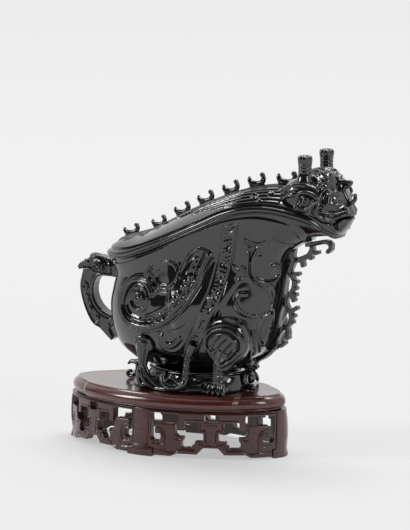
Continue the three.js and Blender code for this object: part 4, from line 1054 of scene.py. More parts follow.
for side, sign in SIDES:
    body = rod(on_side(STRUT_PATH, sign), STRUT_RADII, 0.95)
    fin = rod(on_side(STRUT_FIN, sign), [0.9, 1.6, 1.9, 1.6])
    strut = melt(f"serpent_strut_carved_{side}", [body, fin], 0.4, 3)
    cut_lines(strut, STRUT_CARVING)
    keep_above(strut, STAND_TOP)
    finish_stone(strut, "vessel", f"serpent_strut_{side}")

# %% [markdown]
# ### The foot
# The foot is a waisted oval ring. Its rim is rolled, its sides carry C scrolls, and at its two ends
# stand small pierced hooks.

# %% Wrap the foot
foot_angles = np.linspace(0, 2 * np.pi, 460, endpoint=False)
# each step's share of the waist's height, its inset and its height
foot_profile = [(0.0, 10.5, 51.3), (0.0, 4.0, 51.3), (0.0, 0.6, 51.3), (0.0, 0.0, 51.9),
                (0.0, 0.0, 52.8), (0.0, 0.1, 53.6), (0.05, 0.2, 54.4), (0.16, 0.3, 55.2),
                (0.3, 0.3, 56.2), (0.44, 0.3, 57.2), (0.57, 0.3, 58.2), (0.68, 0.3, 59.2),
                (0.77, 0.3, 60.2), (0.85, 0.3, 61.2), (0.9, 0.3, 62.2), (0.94, 0.3, 63.1),
                (0.97, 0.3, 63.9), (1.0, 0.1, 64.5), (1.0, -0.7, 65.0), (1.0, -1.2, 65.6),
                (1.0, -1.2, 66.2), (1.0, -0.6, 66.8), (1.0, 0.4, 67.1), (1.0, 1.6, 67.0),
                (1.0, 2.8, 66.6), (1.0, 4.0, 65.8), (1.0, 4.8, 64.6), (0.9, 5.0, 62), (0.6, 5.0, 58.5),
                (0.2, 5.5, 54), (0.0, 7.5, 51.3)]


def foot_ring_points(share, inset, z):
    middle = 12 + 6 * share
    half_length = 50 - 8 * share - inset
    half_width = 38 - 13 * share - inset
    dip = 1.5 * share * np.sin(foot_angles) ** 2
    return np.stack([middle + half_length * np.cos(foot_angles), half_width * np.sin(foot_angles),
                     z - dip], axis=1)


FOOT_CARVING = [
    ("ridge", 2.2, 1.5, coil(-30, 59.5, 0.8, 4.4, 120, 1.4, 1.3)),
    ("ridge", 2.2, 1.5, coil(34, 58.6, 0.8, 4.2, 40, -1.4, 1.4)),
    ("groove", 1.7, 1.1, [(-24, 55), (-18, 59), (-10, 60.6), (-2, 58)]),
    ("ridge", 1.9, 1.3, [(-8, 56), (-2, 61), (4, 60)]),
    ("groove", 1.7, 1.1, [(8, 62), (14, 60), (20, 62.4), (28, 61)]),
    ("ridge", 1.9, 1.3, [(28, 54.6), (36, 53.8), (44, 56.4), (47, 60.6), (44, 62.6)]),
    ("groove", 1.5, 1.0, [(26, 57.4), (31, 55.6), (38, 56)]),
]
foot_rings = np.array([foot_ring_points(*step) for step in foot_profile])
foot_normals = sheet_normals(foot_rings)
foot_weight = np.clip((np.abs(foot_normals[:, :, 1]) - 0.15) / 0.3, 0, 1)
foot_weight[:4] = 0  # the edge that stands on the board stays plain
foot_weight[17:] = 0  # and so do the rolled rim and the inside
foot_height = carve_grid(foot_rings[:, :, 0], foot_rings[:, :, 2], FOOT_CARVING) * foot_weight
foot = wrap_sheet("foot_carved", foot_rings + foot_normals * foot_height[:, :, None])
finish_stone(foot, "vessel", "foot_ring")

# %% Hooks at the foot's ends
REAR_HOOKS = [
    ([(-36, 66.5), (-40.2, 65.4), (-44.8, 65.2), (-47.6, 62.6)], [2.6, 2.2, 1.7, 0.8]),
    ([(-37.5, 66), (-38.2, 60.4), (-39.8, 55.6), (-43.5, 52.9), (-46.9, 53.4), (-47.8, 56),
      (-45.3, 57.5), (-43.6, 56.2)], [2.6, 2.2, 2.0, 1.9, 1.7, 1.6, 1.4, 1.0]),
    ([(-36, 55), (-40, 53), (-44, 52.6)], [3, 2.4, 1.6]),
]
FRONT_HOOKS = [
    ([(54, 73.4), (60, 74.6), (65, 76.4), (68.4, 77.8)], [3.6, 3.2, 2.0, 0.9]),
    ([(56, 71.6), (62, 71.6), (68, 71.2), (73.4, 69.9)], [3.0, 2.6, 2.2, 0.9]),
    ([(60, 73), (65, 73.6), (69, 74)], [3.4, 3.2, 2.4]),
    ([(55, 60.4), (58.5, 64), (62.6, 66), (67, 66), (69.8, 63.6)], [2.4, 2.2, 2.1, 1.9, 1.1]),
    ([(63, 65.4), (61.6, 60.6), (62.6, 56.2), (66.4, 54.6), (69.8, 56.4)], [1.8, 2.2, 2.2, 2.0, 1.1]),
    ([(54, 57), (58, 55), (62, 55)], [2.8, 2.6, 2.4]),
    ([(60, 54), (66, 53), (71.6, 52.2)], [2.2, 1.5, 0.8]),
]
for end, rods in (("rear", REAR_HOOKS), ("front", FRONT_HOOKS)):
    parts = [rod(in_middle(points), radii, 1.35) for points, radii in rods]
    hooks = melt(f"foot_hooks_carved_{end}", parts, 0.4, 3)
    keep_above(hooks, STAND_TOP)
    finish_stone(hooks, "vessel", f"foot_hooks_{end}")

# %% [markdown]
# ## The head
# The head is the front of the lid: a broad brow, a coiled eye on each cheek, and an open mouth with a
# curled lip. Rings stand along its length, from the mane to the nose, with the stations of the CAD
# solid.

# %% The head's own shape
HEAD_STATIONS = [(107, 227, 204, 25), (113, 231, 202, 28), (122, 235.5, 199, 29.5),
                 (134, 238, 190, 26.5), (143, 234.5, 185, 22), (149.5, 225.5, 186, 16.6),
                 (154, 216.6, 190.5, 12), (158, 209.6, 196.5, 7.6), (160.4, 205, 199.5, 3.6)]
head_angles = np.linspace(0, 2 * np.pi, 260, endpoint=False)
head_x = np.concatenate([np.linspace(107, 150, 84), np.linspace(150.4, 160.4, 34)])


def head_line(pick):
    return height_line([(s[0], s[pick]) for s in HEAD_STATIONS], head_x)


head_top, head_bottom, head_half = head_line(1), head_line(2), head_line(3)
head_middle, head_rise = (head_top + head_bottom) / 2, (head_top - head_bottom) / 2
roundness = OVAL + 0.3 * np.clip((head_x - 118) / 18, 0, 1)[:, None] * (np.cos(head_angles) > 0)[None, :]
head_rings = np.stack([
    np.broadcast_to(head_x[:, None], (len(head_x), len(head_angles))),
    head_half[:, None] * signed_power(np.sin(head_angles)[None, :], roundness),
    head_middle[:, None] + head_rise[:, None] * signed_power(np.cos(head_angles)[None, :], roundness),
], axis=2)
print("head rows", head_rings.shape)

# %% Lines carved on the head
EYE_MIDDLE = (150.4, 215.6)
EYE = coil(*EYE_MIDDLE, 1.2, 7.4, 200, -1.75, 0.85, 0.8)
BROW = [(136, 234.6), (142, 230.2), (147, 227), (151.4, 221.5), (154.6, 215), (157, 209.6),
        (158.8, 205.6)]
CHEEK_LINE = [(142, 207.4), (147, 205.6), (151.8, 205.4), (156, 206.6)]
CHEEK_CURL = [(140, 212), (138.8, 206.5), (141.6, 202), (146, 200), (150, 199.4)]
JAW = [(109.9, 202.5), (119.8, 201.5), (129.8, 198.4), (141.6, 193), (149.5, 188.8), (154, 187.6)]
HEAD_CARVING = [
    ("dome", 19, 1.0, [EYE_MIDDLE]),
    ("groove", 2.6, 2.2, coil(*EYE_MIDDLE, 9.4, 9.4, 200, -0.9, 0.85, 0.8)),
    ("ridge", 1.9, 1.8, EYE),
    ("studs", 3.6, 1.6, [EYE_MIDDLE]),
    ("ridge", 3.4, 2.6, BROW),
    ("groove", 1.4, 1.2, beside(BROW, 0.2)),
    ("groove", 1.9, 1.4, beside(BROW, 2.8)),
    ("ridge", 1.9, 1.3, beside(BROW[:4], -3.6)),
    ("ridge", 2.4, 1.7, CHEEK_LINE),
    ("groove", 1.6, 1.3, beside(CHEEK_LINE, -1.9)),
    ("ridge", 2.0, 1.3, beside(CHEEK_LINE, -3.4)),
    ("ridge", 3.2, 2.4, CHEEK_CURL),
    ("groove", 1.9, 1.5, beside(CHEEK_CURL, -2.4)),
    ("groove", 1.4, 1.1, CHEEK_CURL),
    ("groove", 3.2, 3.8, [(161, 200.6), (157.4, 201.2), (153.8, 200), (151.2, 196.4), (152.2, 192),
                          (155, 189.6)]),
    ("ridge", 1.8, 1.3, [(160, 203.4), (156, 203.8), (151.8, 202.4), (148.8, 197.6), (149.6, 192),
                         (151.6, 188.4)]),
    ("groove", 1.6, 1.8, [(160.4, 196.4), (157, 196.4), (155, 194.6), (155.8, 192.4)]),
    ("groove", 1.9, 1.5, beside(JAW, 6.4)),
    ("rings", 5.2, 1.5, [(132.5, 206), (123, 209.4)]),
    ("studs", 3.0, 1.3, [(132.5, 206), (123, 209.4)]),
    *alike("ridge", 2.2, 1.7, [(110, 214), (116, 218.4), (124, 219), (131, 216.6), (136, 211.6)],
           [(109, 222), (116, 226), (124, 227.6), (132, 226.6), (138, 223.8)]),
    ("groove", 1.8, 1.4, [(110, 217.6), (117, 221.8), (125, 222.8), (132, 221.6)]),
    ("studs", 3.4, 1.5, [(138.9, 227.2), (142.6, 223.4), (141.6, 213.2), (122.4, 224), (116.4, 222)]),
    ("ridge", 2.0, 1.4, [(133, 238.5), (136, 232), (140.4, 229.4)]),
]


def carve_sides(rings, strokes, low, high):
    """Carves the sides of a wrapped sheet, fading out where it turns up or down."""
    normals = sheet_normals(rings)
    middle = rings.mean(axis=1, keepdims=True)
    if ((rings - middle) * normals).sum() < 0:
        normals = -normals
    weight = np.clip((np.abs(normals[:, :, 1]) - low) / (high - low), 0, 1)
    height = carve_grid(rings[:, :, 0], rings[:, :, 2], strokes)
    return rings + normals * (height * weight)[:, :, None]


FOREHEAD_CARVING = [
    ("ridge", 3.0, 1.8, [(112, 3.4), (122, 5), (131, 8), (138, 10.4), (145, 8.4), (151, 4.6)]),
    ("groove", 2.0, 1.6, [(116, 6.6), (124, 9), (131, 12), (138, 14.4), (146, 12), (151, 8)]),
    ("ridge", 2.6, 1.7, [(133, 16.6), (139, 18.4), (144, 16.6), (149, 12)]),
    ("ridge", 2.2, 1.5, [(128, 3.0), (134, 3.4), (138, 5.4), (136.4, 8)]),
    ("rings", 15.5, 1.2, [(126, 18.6)]),
    ("studs", 3.4, 1.6, [(135.2, 13.4), (142.4, 4.4)]),
]
head_rings = carve_sides(head_rings, HEAD_CARVING, 0.25, 0.55)
upward = sheet_normals(head_rings)[:, :, 2]
crown = np.clip((upward * np.sign(upward[0, 0]) - 0.45) / 0.3, 0, 1)
forehead = carve_grid(head_rings[:, :, 0], np.abs(head_rings[:, :, 1]), FOREHEAD_CARVING)
head_rings[:, :, 2] += forehead * crown
face = head_rings[-1]
middle_of_face = face.mean(axis=0)
caps = [middle_of_face + (face - middle_of_face) * share + np.array([step, 0, 0])
        for share, step in ((0.8, 0.3), (0.4, 0.5), (0.05, 0.55))]
head_rings = np.concatenate([head_rings, np.array(caps)])
HEAD_CLEARANCE = 0.5  # the head starts this far above the rim
lowest = height_line(SEAM, head_rings[:, :, 0]) + HEAD_CLEARANCE
head_rings[:, :, 2] = np.maximum(head_rings[:, :, 2], lowest)
head = wrap_sheet("beast_head_carved", head_rings)
finish_stone(head, "lid", "beast_head")

# %% [markdown]
# ### Horns, ears and the hooks down the nose
# The bottle horns have a ringed neck and a lobed, flared top. The ears are leaves with a rolled rim
# and a coil at the root. The nose carries one long rod that bends back on itself twice.

# %% Horns
HORN_PROFILE = [(0.3, 222.0), (6.4, 222.0), (7.2, 229.0), (6.7, 231.4), (5.9, 233.4), (5.5, 235.2),
                (5.35, 236.6), (5.6, 237.4), (5.35, 238.2), (5.3, 239.6), (5.55, 240.4), (5.35, 241.2),
                (5.4, 242.4), (5.75, 243.1), (5.5, 243.8), (5.9, 245.0), (6.35, 246.4), (6.5, 247.8),
                (6.3, 249.0), (5.7, 249.9), (4.8, 250.2), (3.8, 250.0), (2.8, 249.4), (1.6, 249.0),
                (0.4, 248.9)]
horn_angles = np.linspace(0, 2 * np.pi, 96, endpoint=False)
horn_out, horn_height = smooth_line(HORN_PROFILE, 4).T[:, :, None]
HORN_X, HORN_Y, HORN_LOBES = 126, 18.6, 6
HORN_LIFT = {"near": 0.3, "far": 0.9}
lobes = np.clip((horn_height - 244.6) / 2, 0, 1) * np.clip(horn_out / 5, 0, 1) * 0.3
radius = horn_out - lobes * (1 - np.cos(HORN_LOBES * horn_angles))
for side, sign in SIDES:
    rings = np.stack([
        HORN_X + radius * np.cos(horn_angles),
        sign * HORN_Y + radius * np.sin(horn_angles),
        np.broadcast_to(horn_height + HORN_LIFT[side], radius.shape),
    ], axis=2)
    horn_piece = wrap_sheet(f"horn_carved_{side}", rings)
    finish_stone(horn_piece, "lid", f"horn_{side}")

# %% Ears and the nose
EAR = [(124.4, 216.4), (126.4, 221.6), (132.5, 223), (138.8, 221.6), (143.6, 216.9), (139.4, 213.6),
       (134.4, 209.6), (129, 208.8), (125.2, 212)]
EAR_RADII = [1.5, 1.6, 1.7, 1.6, 1.1, 1.3, 1.5, 1.5, 1.4, 1.5]
for side, sign in SIDES:
    parts = [lump(132, sign * 27.4, 215.6, 9.6, 3.0, 6.2, -0.1)]
    rim = [(x, sign * (30.2 - 0.16 * max(0, x - 134)), z) for x, z in EAR + EAR[:2]]
    parts.append(rod(rim, EAR_RADII))
    curl = [(x, sign * 30.8, z) for x, z in coil(132.4, 215.4, 0.7, 3.3, 300, 1.3)]
    parts.append(rod(curl, [1.2, 1.0, 0.9]))
    for i in range(3):
        leaf = [(126.5 + 1.6 * i, 28.6 - 0.1 * i, 213 + 1.2 * i),
                (139 - 1.4 * i, 28 - 0.1 * i, 217.5 - 0.4 * i)]
        parts.append(rod(on_side(leaf, sign), [3.0, 2.2], 0.7))
    ear_piece = melt(f"ear_carved_{side}", parts, 0.34, 3)
    finish_stone(ear_piece, "lid", f"ear_{side}")

NOSE_PATH = [(148, 228.8), (151.6, 228.6), (155, 228.6), (156.8, 227.4), (154.8, 225.6), (152.2, 224.2),
             (151.6, 220.6), (153.6, 216.4), (156.4, 212.8), (159.2, 212.8), (161.5, 215.6),
             (161.7, 218.6)]
NOSE_BACK = [(144, 232.4), (147.6, 227), (150.4, 220.6), (153, 213.6), (155.6, 207)]
nose_parts = [
    rod(in_middle(NOSE_PATH), [2.4, 2.2, 2.2, 2.0, 1.8, 1.9, 2.0, 2.0, 2.0, 1.9, 1.7, 1.3], 1.2),
    rod(in_middle(NOSE_BACK), [2.2, 2.6, 2.6, 2.4, 1.6], 1.2),
    lump(157, 0, 228.6, 2.5, 2.4, 2.3),
    lump(161.5, 0, 218.6, 1.6, 2.0, 1.8),
]
nose = melt("nose_flange_carved", nose_parts, 0.34, 3)
finish_stone(nose, "lid", "nose_flange")

# %% [markdown]
# ### Hooks along the spine
# Seven hooks stand in a row. Each is a small cradle whose two arms curl inwards. One is modelled, and
# all seven are made from it, each stretched a little, moved along the spine and leaned towards its
# slope.

# %% Carve one hook and copy it
CRADLE = [(-6.1, 8.2), (-6.5, 6.0), (-5.3, 3.6), (-2.4, 2.3), (1.0, 2.1), (4.0, 2.9), (5.9, 4.9),
          (6.2, 7.2), (5.3, 9.2)]
first_hook = melt("spine_hook_carved_1", [
    rod(in_middle(CRADLE), [0.7, 1.8, 2.4, 2.6, 2.5, 2.4, 2.1, 1.9, 1.9]),
    lump(5.5, 0, 8.8, 2.1, 2.1, 1.9),
    lump(0, 0, 0.6, 7.4, 2.3, 2.8),
], 0.32, 3)
hook_places = to_millimetres(vertex_data(first_hook)[0])
LEAN = 0.6  # share of the spine's slope
HOOK_MIDDLE_HEIGHT = 4.5  # the height that stays over the hook's place
# each hook's place along the spine, and how much wider and taller it is than the modelled one
HOOKS = [(-44, 0.97, 0.86), (-18, 0.89, 0.88), (3.8, 0.98, 0.98), (25.6, 1, 1), (48.9, 1, 1.06),
         (72.5, 1.02, 1.12), (99.9, 1.16, 1.16)]
for number, (x, wide, tall) in enumerate(HOOKS, start=1):
    slope = math.atan2(height_line(SPINE, x + 5) - height_line(SPINE, x - 5), 10)
    lean = LEAN * slope
    middle_x = x + HOOK_MIDDLE_HEIGHT * math.sin(lean)
    hook = first_hook
    if number > 1:
        hook = first_hook.copy()
        hook.data = first_hook.data.copy()
        hook.name = f"spine_hook_carved_{number}"
        link_object(hook)
    turned = hook_places * [wide, 1, tall]
    along, above = turned[:, 0].copy(), turned[:, 2].copy()
    turned[:, 0] = middle_x + along * math.cos(lean) - above * math.sin(lean)
    turned[:, 2] = height_line(SPINE, middle_x) + along * math.sin(lean) + above * math.cos(lean)
    move_vertices(hook, to_metres(turned))
    finish_stone(hook, "lid", f"spine_hook_{number}")

# %% [markdown]
# ### The handle and the flange
# The handle is a C band that springs from the mouth of a small animal and ends in a spur. The flange
# is a vine down the spout and the front. Both keep their CAD outline, get rounder knobs, and melt.

# %% Carve the handle
HANDLE_CARVING = [
    ("groove", 1.7, 1.1, [(-60, 137.6), (-70, 137.8), (-77, 135), (-80.6, 127), (-80.6, 118),
                          (-76.5, 109), (-70, 103), (-62, 100.4)]),
    ("groove", 1.8, 1.3, [(-86, 135), (-88, 126), (-86.6, 115), (-82, 104), (-76, 96), (-70, 92.4)]),
    *alike("ridge", 2.2, 1.4, [(-85.6, 129), (-82.6, 126.5), (-84, 123), (-86.4, 124.6)],
           [(-84.6, 119), (-81.8, 117.6), (-82, 113.6), (-84.6, 113.4)]),
    *alike("ridge", 2.0, 1.3, [(-81, 109), (-78.6, 107), (-79, 103.4)],
           [(-75, 101), (-72, 100.4), (-71.6, 96.8), (-74.6, 95.6)]),
    ("groove", 2.4, 1.8, [(-92, 139.6), (-86, 141), (-80, 141.6), (-76, 139.6)]),
    ("ridge", 2.4, 1.6, coil(-72.5, 144.5, 0.9, 4.6, 160, 1.5, 1.1)),
    ("groove", 1.8, 1.5, coil(-72.5, 144.5, 6, 6, 150, 0.6, 1.1)),
    ("groove", 1.8, 1.5, [(-66, 149), (-64, 144), (-65, 139)]),
    ("groove", 1.8, 1.4, [(-61, 149), (-59.6, 143), (-60.4, 137)]),
    ("ridge", 2.0, 1.4, [(-84, 147.6), (-80, 144.6), (-78, 147)]),
    ("groove", 1.6, 1.2, [(-62, 97), (-60, 91), (-59.6, 86)]),
]
HANDLE_LUMPS = [(-77, 0, 149.6, 6.4, 5.4, 3.6, 0.1), (-72, 0, 144.2, 11, 8.4, 7.2, -0.1),
                (-84.5, 0, 143.6, 7, 5.6, 4.4, -0.35), (-61, 0, 143.5, 8, 7.2, 7.0)]
handle_parts = [copy_of("handle"), *(lump(*values) for values in HANDLE_LUMPS)]
handle = melt("handle_carved", handle_parts, 0.5, 12)
cut_lines(handle, HANDLE_CARVING)
finish_stone(handle, "vessel", "handle")

# %% Carve the flange
VINE_KNOBS = [(122.6, 165.2), (115.3, 158.6), (111, 151), (109.4, 144.4), (108.6, 139), (108.4, 133.8),
              (107, 129.4), (109.4, 123), (107, 116.4), (105.7, 111.2), (101.8, 98.2), (98.6, 93.6),
              (138.2, 171.6)]
knobs = [lump(x - 0.2, 0, z, 2.1, 2.5, 2.1) for x, z in VINE_KNOBS]
flange = melt("spout_flange_carved", [copy_of("spout_flange"), *knobs], 0.4, 6)
cut_lines(flange, [
    ("groove", 1.5, 1.1, [(133, 178.6), (122, 174.6), (112, 168), (106.5, 157), (103.4, 143), (101, 124),
                          (97.4, 106), (93, 90)]),
    ("groove", 1.3, 0.9, [(139.6, 177.4), (140.4, 175.4), (139, 172.6)]),
    ("studs", 3.2, 1.0, [(116, 171), (109.4, 162), (104.6, 150), (102, 136), (100, 117), (95.6, 100)]),
])
finish_stone(flange, "vessel", "spout_flange")

# %% [markdown]
# ## The stand
# The stand's top is one oval board. Its edge is a full cushion moulding between a small bead below and
# a fine lip above. The edge is drawn as a profile and carried round the oval.

# %% The board
BOARD_HALF_LENGTH, BOARD_HALF_WIDTH, LOBE_AT, LOBE_SETBACK, PLAN_POWER = 92, 47, 70, 2.0, 1.8


def plan_point(angles, half_length, half_width):
    power = 2 / PLAN_POWER
    x = half_length * signed_power(np.cos(angles), power)
    return x, half_width * signed_power(np.sin(angles), power)


BOARD_PROFILE = [(-3, 38.72), (1.5, 38.72), (2.3, 38.9), (2.75, 39.4), (2.7, 39.9), (2.4, 40.2),
                 (3.1, 40.35), (4.0, 40.7), (4.8, 41.2), (5.4, 41.9), (5.8, 42.8), (5.97, 43.8),
                 (5.95, 44.8), (5.75, 45.8), (5.4, 46.7), (4.9, 47.5), (4.3, 48.2), (3.6, 48.8),
                 (2.9, 49.3), (2.3, 49.6), (1.9, 49.8), (1.7, 50.1), (1.6, 50.5), (1.2, 50.85),
                 (0.6, 51.08), (-0.3, 51.12), (-1.0, 51.06), (-1.7, 51.0), (-12, 51.0), (-24, 51.0),
                 (-36, 51.0), (-46, 51.0)]
fine_plan = np.stack(plan_point(fine_angles, BOARD_HALF_LENGTH, BOARD_HALF_WIDTH) + (0 * fine_angles,),
                     axis=1)
board_angles = even_steps(fine_angles, fine_plan, 900, closed=True)
board_rings = []
for out, z in BOARD_PROFILE:
    x, y = plan_point(board_angles, BOARD_HALF_LENGTH + out, BOARD_HALF_WIDTH + out)
    past = np.clip((np.abs(x) - LOBE_AT) / 1.6, 0, 1)
    past = past * past * (3 - 2 * past)
    notch = 1.3 * np.clip(1 - np.abs(np.abs(x) - LOBE_AT) / 1.1, 0, 1) * (out > 0)
    y = y - np.sign(y) * np.minimum(np.abs(y), LOBE_SETBACK * past + notch)
    board_rings.append(np.stack([x, y, np.full_like(x, z)], axis=1))
board_piece = wrap_sheet("board_moulded", np.array(board_rings))
finish_piece(board_piece, moulding_wood, "stand", "stand_board")

# %% [markdown]
# Under the board runs the apron: four curved, fretted panels between four plain posts. Each panel is
# sawn from flat board as an outline with its openings, rounded along its edges, cut with fine lines
# along them, and then bent to the oval. Its two halves mirror each other.

# %% The apron's plan
APRON_TOP, APRON_FLARE, APRON_THICKNESS = 38.4, 4.0, 6.5
APRON_HALF_LENGTH, APRON_HALF_WIDTH = 98, 48
POST_SETBACK, POST_HALF_WIDTH, END_POST_HALF_WIDTH, POST_FOOT_HALF_WIDTH = 7.3, 7.0, 9.0, 12.0
quarter_angles = np.linspace(np.pi / 2, 0, 801)
quarter_plan = np.stack(plan_point(quarter_angles, APRON_HALF_LENGTH, APRON_HALF_WIDTH), axis=1)
quarter_run = np.concatenate([[0], np.cumsum(np.linalg.norm(np.diff(quarter_plan, axis=0), axis=1))])
QUARTER = float(quarter_run[-1])


def apron_plan(run, z):
    """The apron's outer face, at a run from the middle of a long side and a height."""
    lean = APRON_FLARE * (1 - z / APRON_TOP)
    folded = np.abs(run)
    past_end = folded > QUARTER
    folded = np.where(past_end, 2 * QUARTER - folded, folded)
    angle = np.interp(folded, quarter_run, quarter_angles)
    x, y = plan_point(angle, APRON_HALF_LENGTH, APRON_HALF_WIDTH + lean)
    return np.where(run < 0, -x, x), np.where(past_end, -y, y)


def bend(piece, end, side):
    """Bends a flat piece (run, depth, height) onto the apron's plan."""
    run, depth, z = (vertex_data(piece)[0] * 1000).T
    x, y = apron_plan(run, z)
    ax, ay = apron_plan(run - 2, z)
    bx, by = apron_plan(run + 2, z)
    length = np.hypot(bx - ax, by - ay)
    places = np.stack([end * (x + (by - ay) / length * depth), side * (y - (bx - ax) / length * depth),
                       z], axis=1)
    move_vertices(piece, to_metres(places))
    select_only(piece)
    edit_mesh(outward=True)


STAND_VOXEL = 0.55


def sawn_board(outlines, thickness, rounds):
    """A flat board of (run, height) outlines. The first is its edge and the others are holes."""
    curve = empty_curve("2D")
    curve.fill_mode = "BOTH"
    for outline in outlines:
        spline = curve.splines.new("POLY")
        spline.points.add(len(outline) - 1)
        for point, (run, z) in zip(spline.points, outline):
            point.co = (run / 1000, z / 1000, 0, 1)
        spline.use_cyclic_u = True
    curve.extrude = thickness / 2000
    bpy.ops.object.convert(target="MESH")
    piece = bpy.context.object
    for vertex in piece.data.vertices:
        run, z, across = vertex.co
        vertex.co = (run, across + thickness / 2000, z)
    edit_mesh(merge=SAME_PLACE, outward=True)
    even_skin(piece, STAND_VOXEL, rounds)
    return piece


print("a quarter of the apron runs", round(QUARTER, 2), "mm")

# %% The fret's drawing
OPENING = [(0.03, 0.924), (0.482, 0.924), (0.482, 0.625), (0.571, 0.625), (0.571, 0.781), (0.809, 0.781),
           (0.809, 0.573), (0.88, 0.56), (0.88, 0.378), (0.753, 0.378), (0.753, 0.3), (0.715, 0.3),
           (0.715, 0.24), (0.547, 0.24), (0.547, 0.365), (0.575, 0.378), (0.575, 0.464), (0.482, 0.464),
           (0.444, 0.508), (0.416, 0.716), (0.118, 0.716), (0.1, 0.586), (0.108, 0.49), (0.198, 0.49),
           (0.198, 0.346), (0.06, 0.346), (0.035, 0.404)]
FRET_TOP = APRON_TOP * 0.776
GAP = 0.3  # between a panel and its posts
DRAWN_HALF = 50  # the width at which half a panel's lines are drawn


def panel_span(end):
    start = POST_HALF_WIDTH + GAP - end * POST_SETBACK
    stop = QUARTER - END_POST_HALF_WIDTH - GAP
    return (start + stop) / 2, (stop - start) / 2


def fret_outlines(flip, end):
    """The edge of half a fretted panel and its opening, in run and height."""
    middle, half = panel_span(end)
    half_width = END_POST_HALF_WIDTH if flip else POST_HALF_WIDTH
    foot_share = (POST_FOOT_HALF_WIDTH - half_width + GAP) / half
    way = 1 if flip else -1

    def place(points):
        return [(middle + way * (1 - u) * half, z) for u, z in points]

    edge = [(0, APRON_TOP), (0, 7.3), (foot_share, 7.3), (foot_share, 1.2), (0.38, 1.2), (0.47, 3.6),
            (0.79, 3.6), (0.885, 9), (1, 9)]
    top = [(1, FRET_TOP), (0.885, FRET_TOP), (0.885, APRON_TOP - 2.6), (1, APRON_TOP - 2.6),
           (1, APRON_TOP)]
    return place(edge), place(top), place([(u, share * APRON_TOP) for u, share in OPENING])


def cut_fret(piece, end):
    """Cuts the fret's lines into its outer face."""
    middle, half = panel_span(end)
    co, normals = vertex_data(piece)
    share = 1 - np.abs(co[:, 0] * 1000 - middle) / half
    height = carve(np.stack([share * DRAWN_HALF, co[:, 2] * 1000], axis=1), FRET_LINES)
    facing = np.clip((-normals[:, 1] - 0.5) / 0.3, 0, 1)
    co[:, 1] -= height * facing / 1000
    move_vertices(piece, co)


FRET_LINES = [
    ("groove", 1.4, 0.9, [(1, 37.2), (24, 37.2), (50, 37.2)]),
    *alike("groove", 1.3, 0.8,
           [(4.4, 11.2), (11.6, 11.2), (11.6, 20.6), (4.4, 20.6)],
           [(14.4, 8.0), (14.4, 12), (13.2, 21.5), (6.6, 24.8)],
           [(3, 5.4), (12, 5.6), (20.6, 4.4), (24.6, 6.2), (24.6, 8)],
           [(22, 15.9), (25.6, 15.9), (25.6, 21.6), (26, 21.7)],
           [(26.4, 7.4), (37.8, 7.4), (37.8, 9.8), (39.4, 9.8), (39.4, 12.6), (45.6, 12.6), (45.6, 23.4),
            (41.8, 23.4), (41.8, 31.8)],
           [(30, 31.8), (41.8, 31.8), (50, 31.8)],
           [(46, 11), (50, 11)],
           [(46, 28), (50, 28)]),
]

# %% Saw, cut and bend the panels
for side, sign in SIDES:
    for end_name, end in (("front", 1), ("rear", -1)):
        left_edge, left_top, left_hole = fret_outlines(False, end)
        right_edge, right_top, right_hole = fret_outlines(True, end)
        ring = left_edge[:-1] + right_edge[::-1][1:]
        window = [left_top[1], left_top[2], right_top[2], right_top[1]]
        panel = sawn_board([ring, left_hole, right_hole, window], APRON_THICKNESS, 2)
        panel.name = f"fret_panel_carved_{side}_{end_name}"
        cut_fret(panel, end)
        bend(panel, end, sign)
        select_only(panel)
        bpy.ops.object.shade_smooth_by_angle(angle=math.radians(40))
        finish_piece(panel, apron_wood, "stand", f"fret_panel_{side}_{end_name}")

# %% [markdown]
# The posts are plain boards with a broader foot. Each stands a little proud at its foot, and its
# edges are rounded by hand.

# %% The posts
FOOT_TOE = 1.55
END_POST_PROUD = ([0, 2, 5, 9, 15, 22, 30, 36, 39], [1, 0.9, 0.35, 0.5, 0.9, 1, 0.8, 0.3, 0.1])


def post(name, middle, half_width, end, sign):
    foot = POST_FOOT_HALF_WIDTH
    half_outline = [(half_width, APRON_TOP), (half_width, 7.2), (foot, 6.2), (foot, 0.0)]
    outline = [(middle - out, z) for out, z in half_outline]
    outline += [(middle + out, z) for out, z in half_outline[::-1]]
    piece = sawn_board([outline], APRON_THICKNESS + FOOT_TOE, 5)
    co = vertex_data(piece)[0]
    run, depth, z = (co * 1000).T
    if half_width > POST_HALF_WIDTH:
        proud = FOOT_TOE * np.interp(z, *END_POST_PROUD)
    else:
        proud = FOOT_TOE * (0.45 + 0.55 * np.clip((9.5 - z) / 4, 0, 1) ** 0.8)
    bulge = 0.5 * np.clip(1 - ((run - middle) / (half_width + 1)) ** 2, 0, 1) - 0.5
    outer_face = np.clip(1 - depth / 3, 0, 1)
    co[:, 1] = (depth - proud - bulge * outer_face) / 1000
    move_vertices(piece, co)
    piece.name = name + "_rounded"
    bend(piece, end, sign)
    select_only(piece)
    bpy.ops.object.shade_smooth()
    finish_piece(piece, apron_wood, "stand", name)


post("stand_post_near", -POST_SETBACK, POST_HALF_WIDTH, 1, -1)
post("stand_post_far", -POST_SETBACK, POST_HALF_WIDTH, 1, 1)
post("stand_post_front", QUARTER, END_POST_HALF_WIDTH, 1, 1)
post("stand_post_rear", QUARTER, END_POST_HALF_WIDTH, -1, 1)

# %% [markdown]
# ## Floor, backdrop and light
# The vessel stands on plain pale paper. Polished stone shows mostly what stands around it, so the
# studio matters: pale paper behind and below, a darker room behind the camera, and softboxes that
# leave crisp highlights.

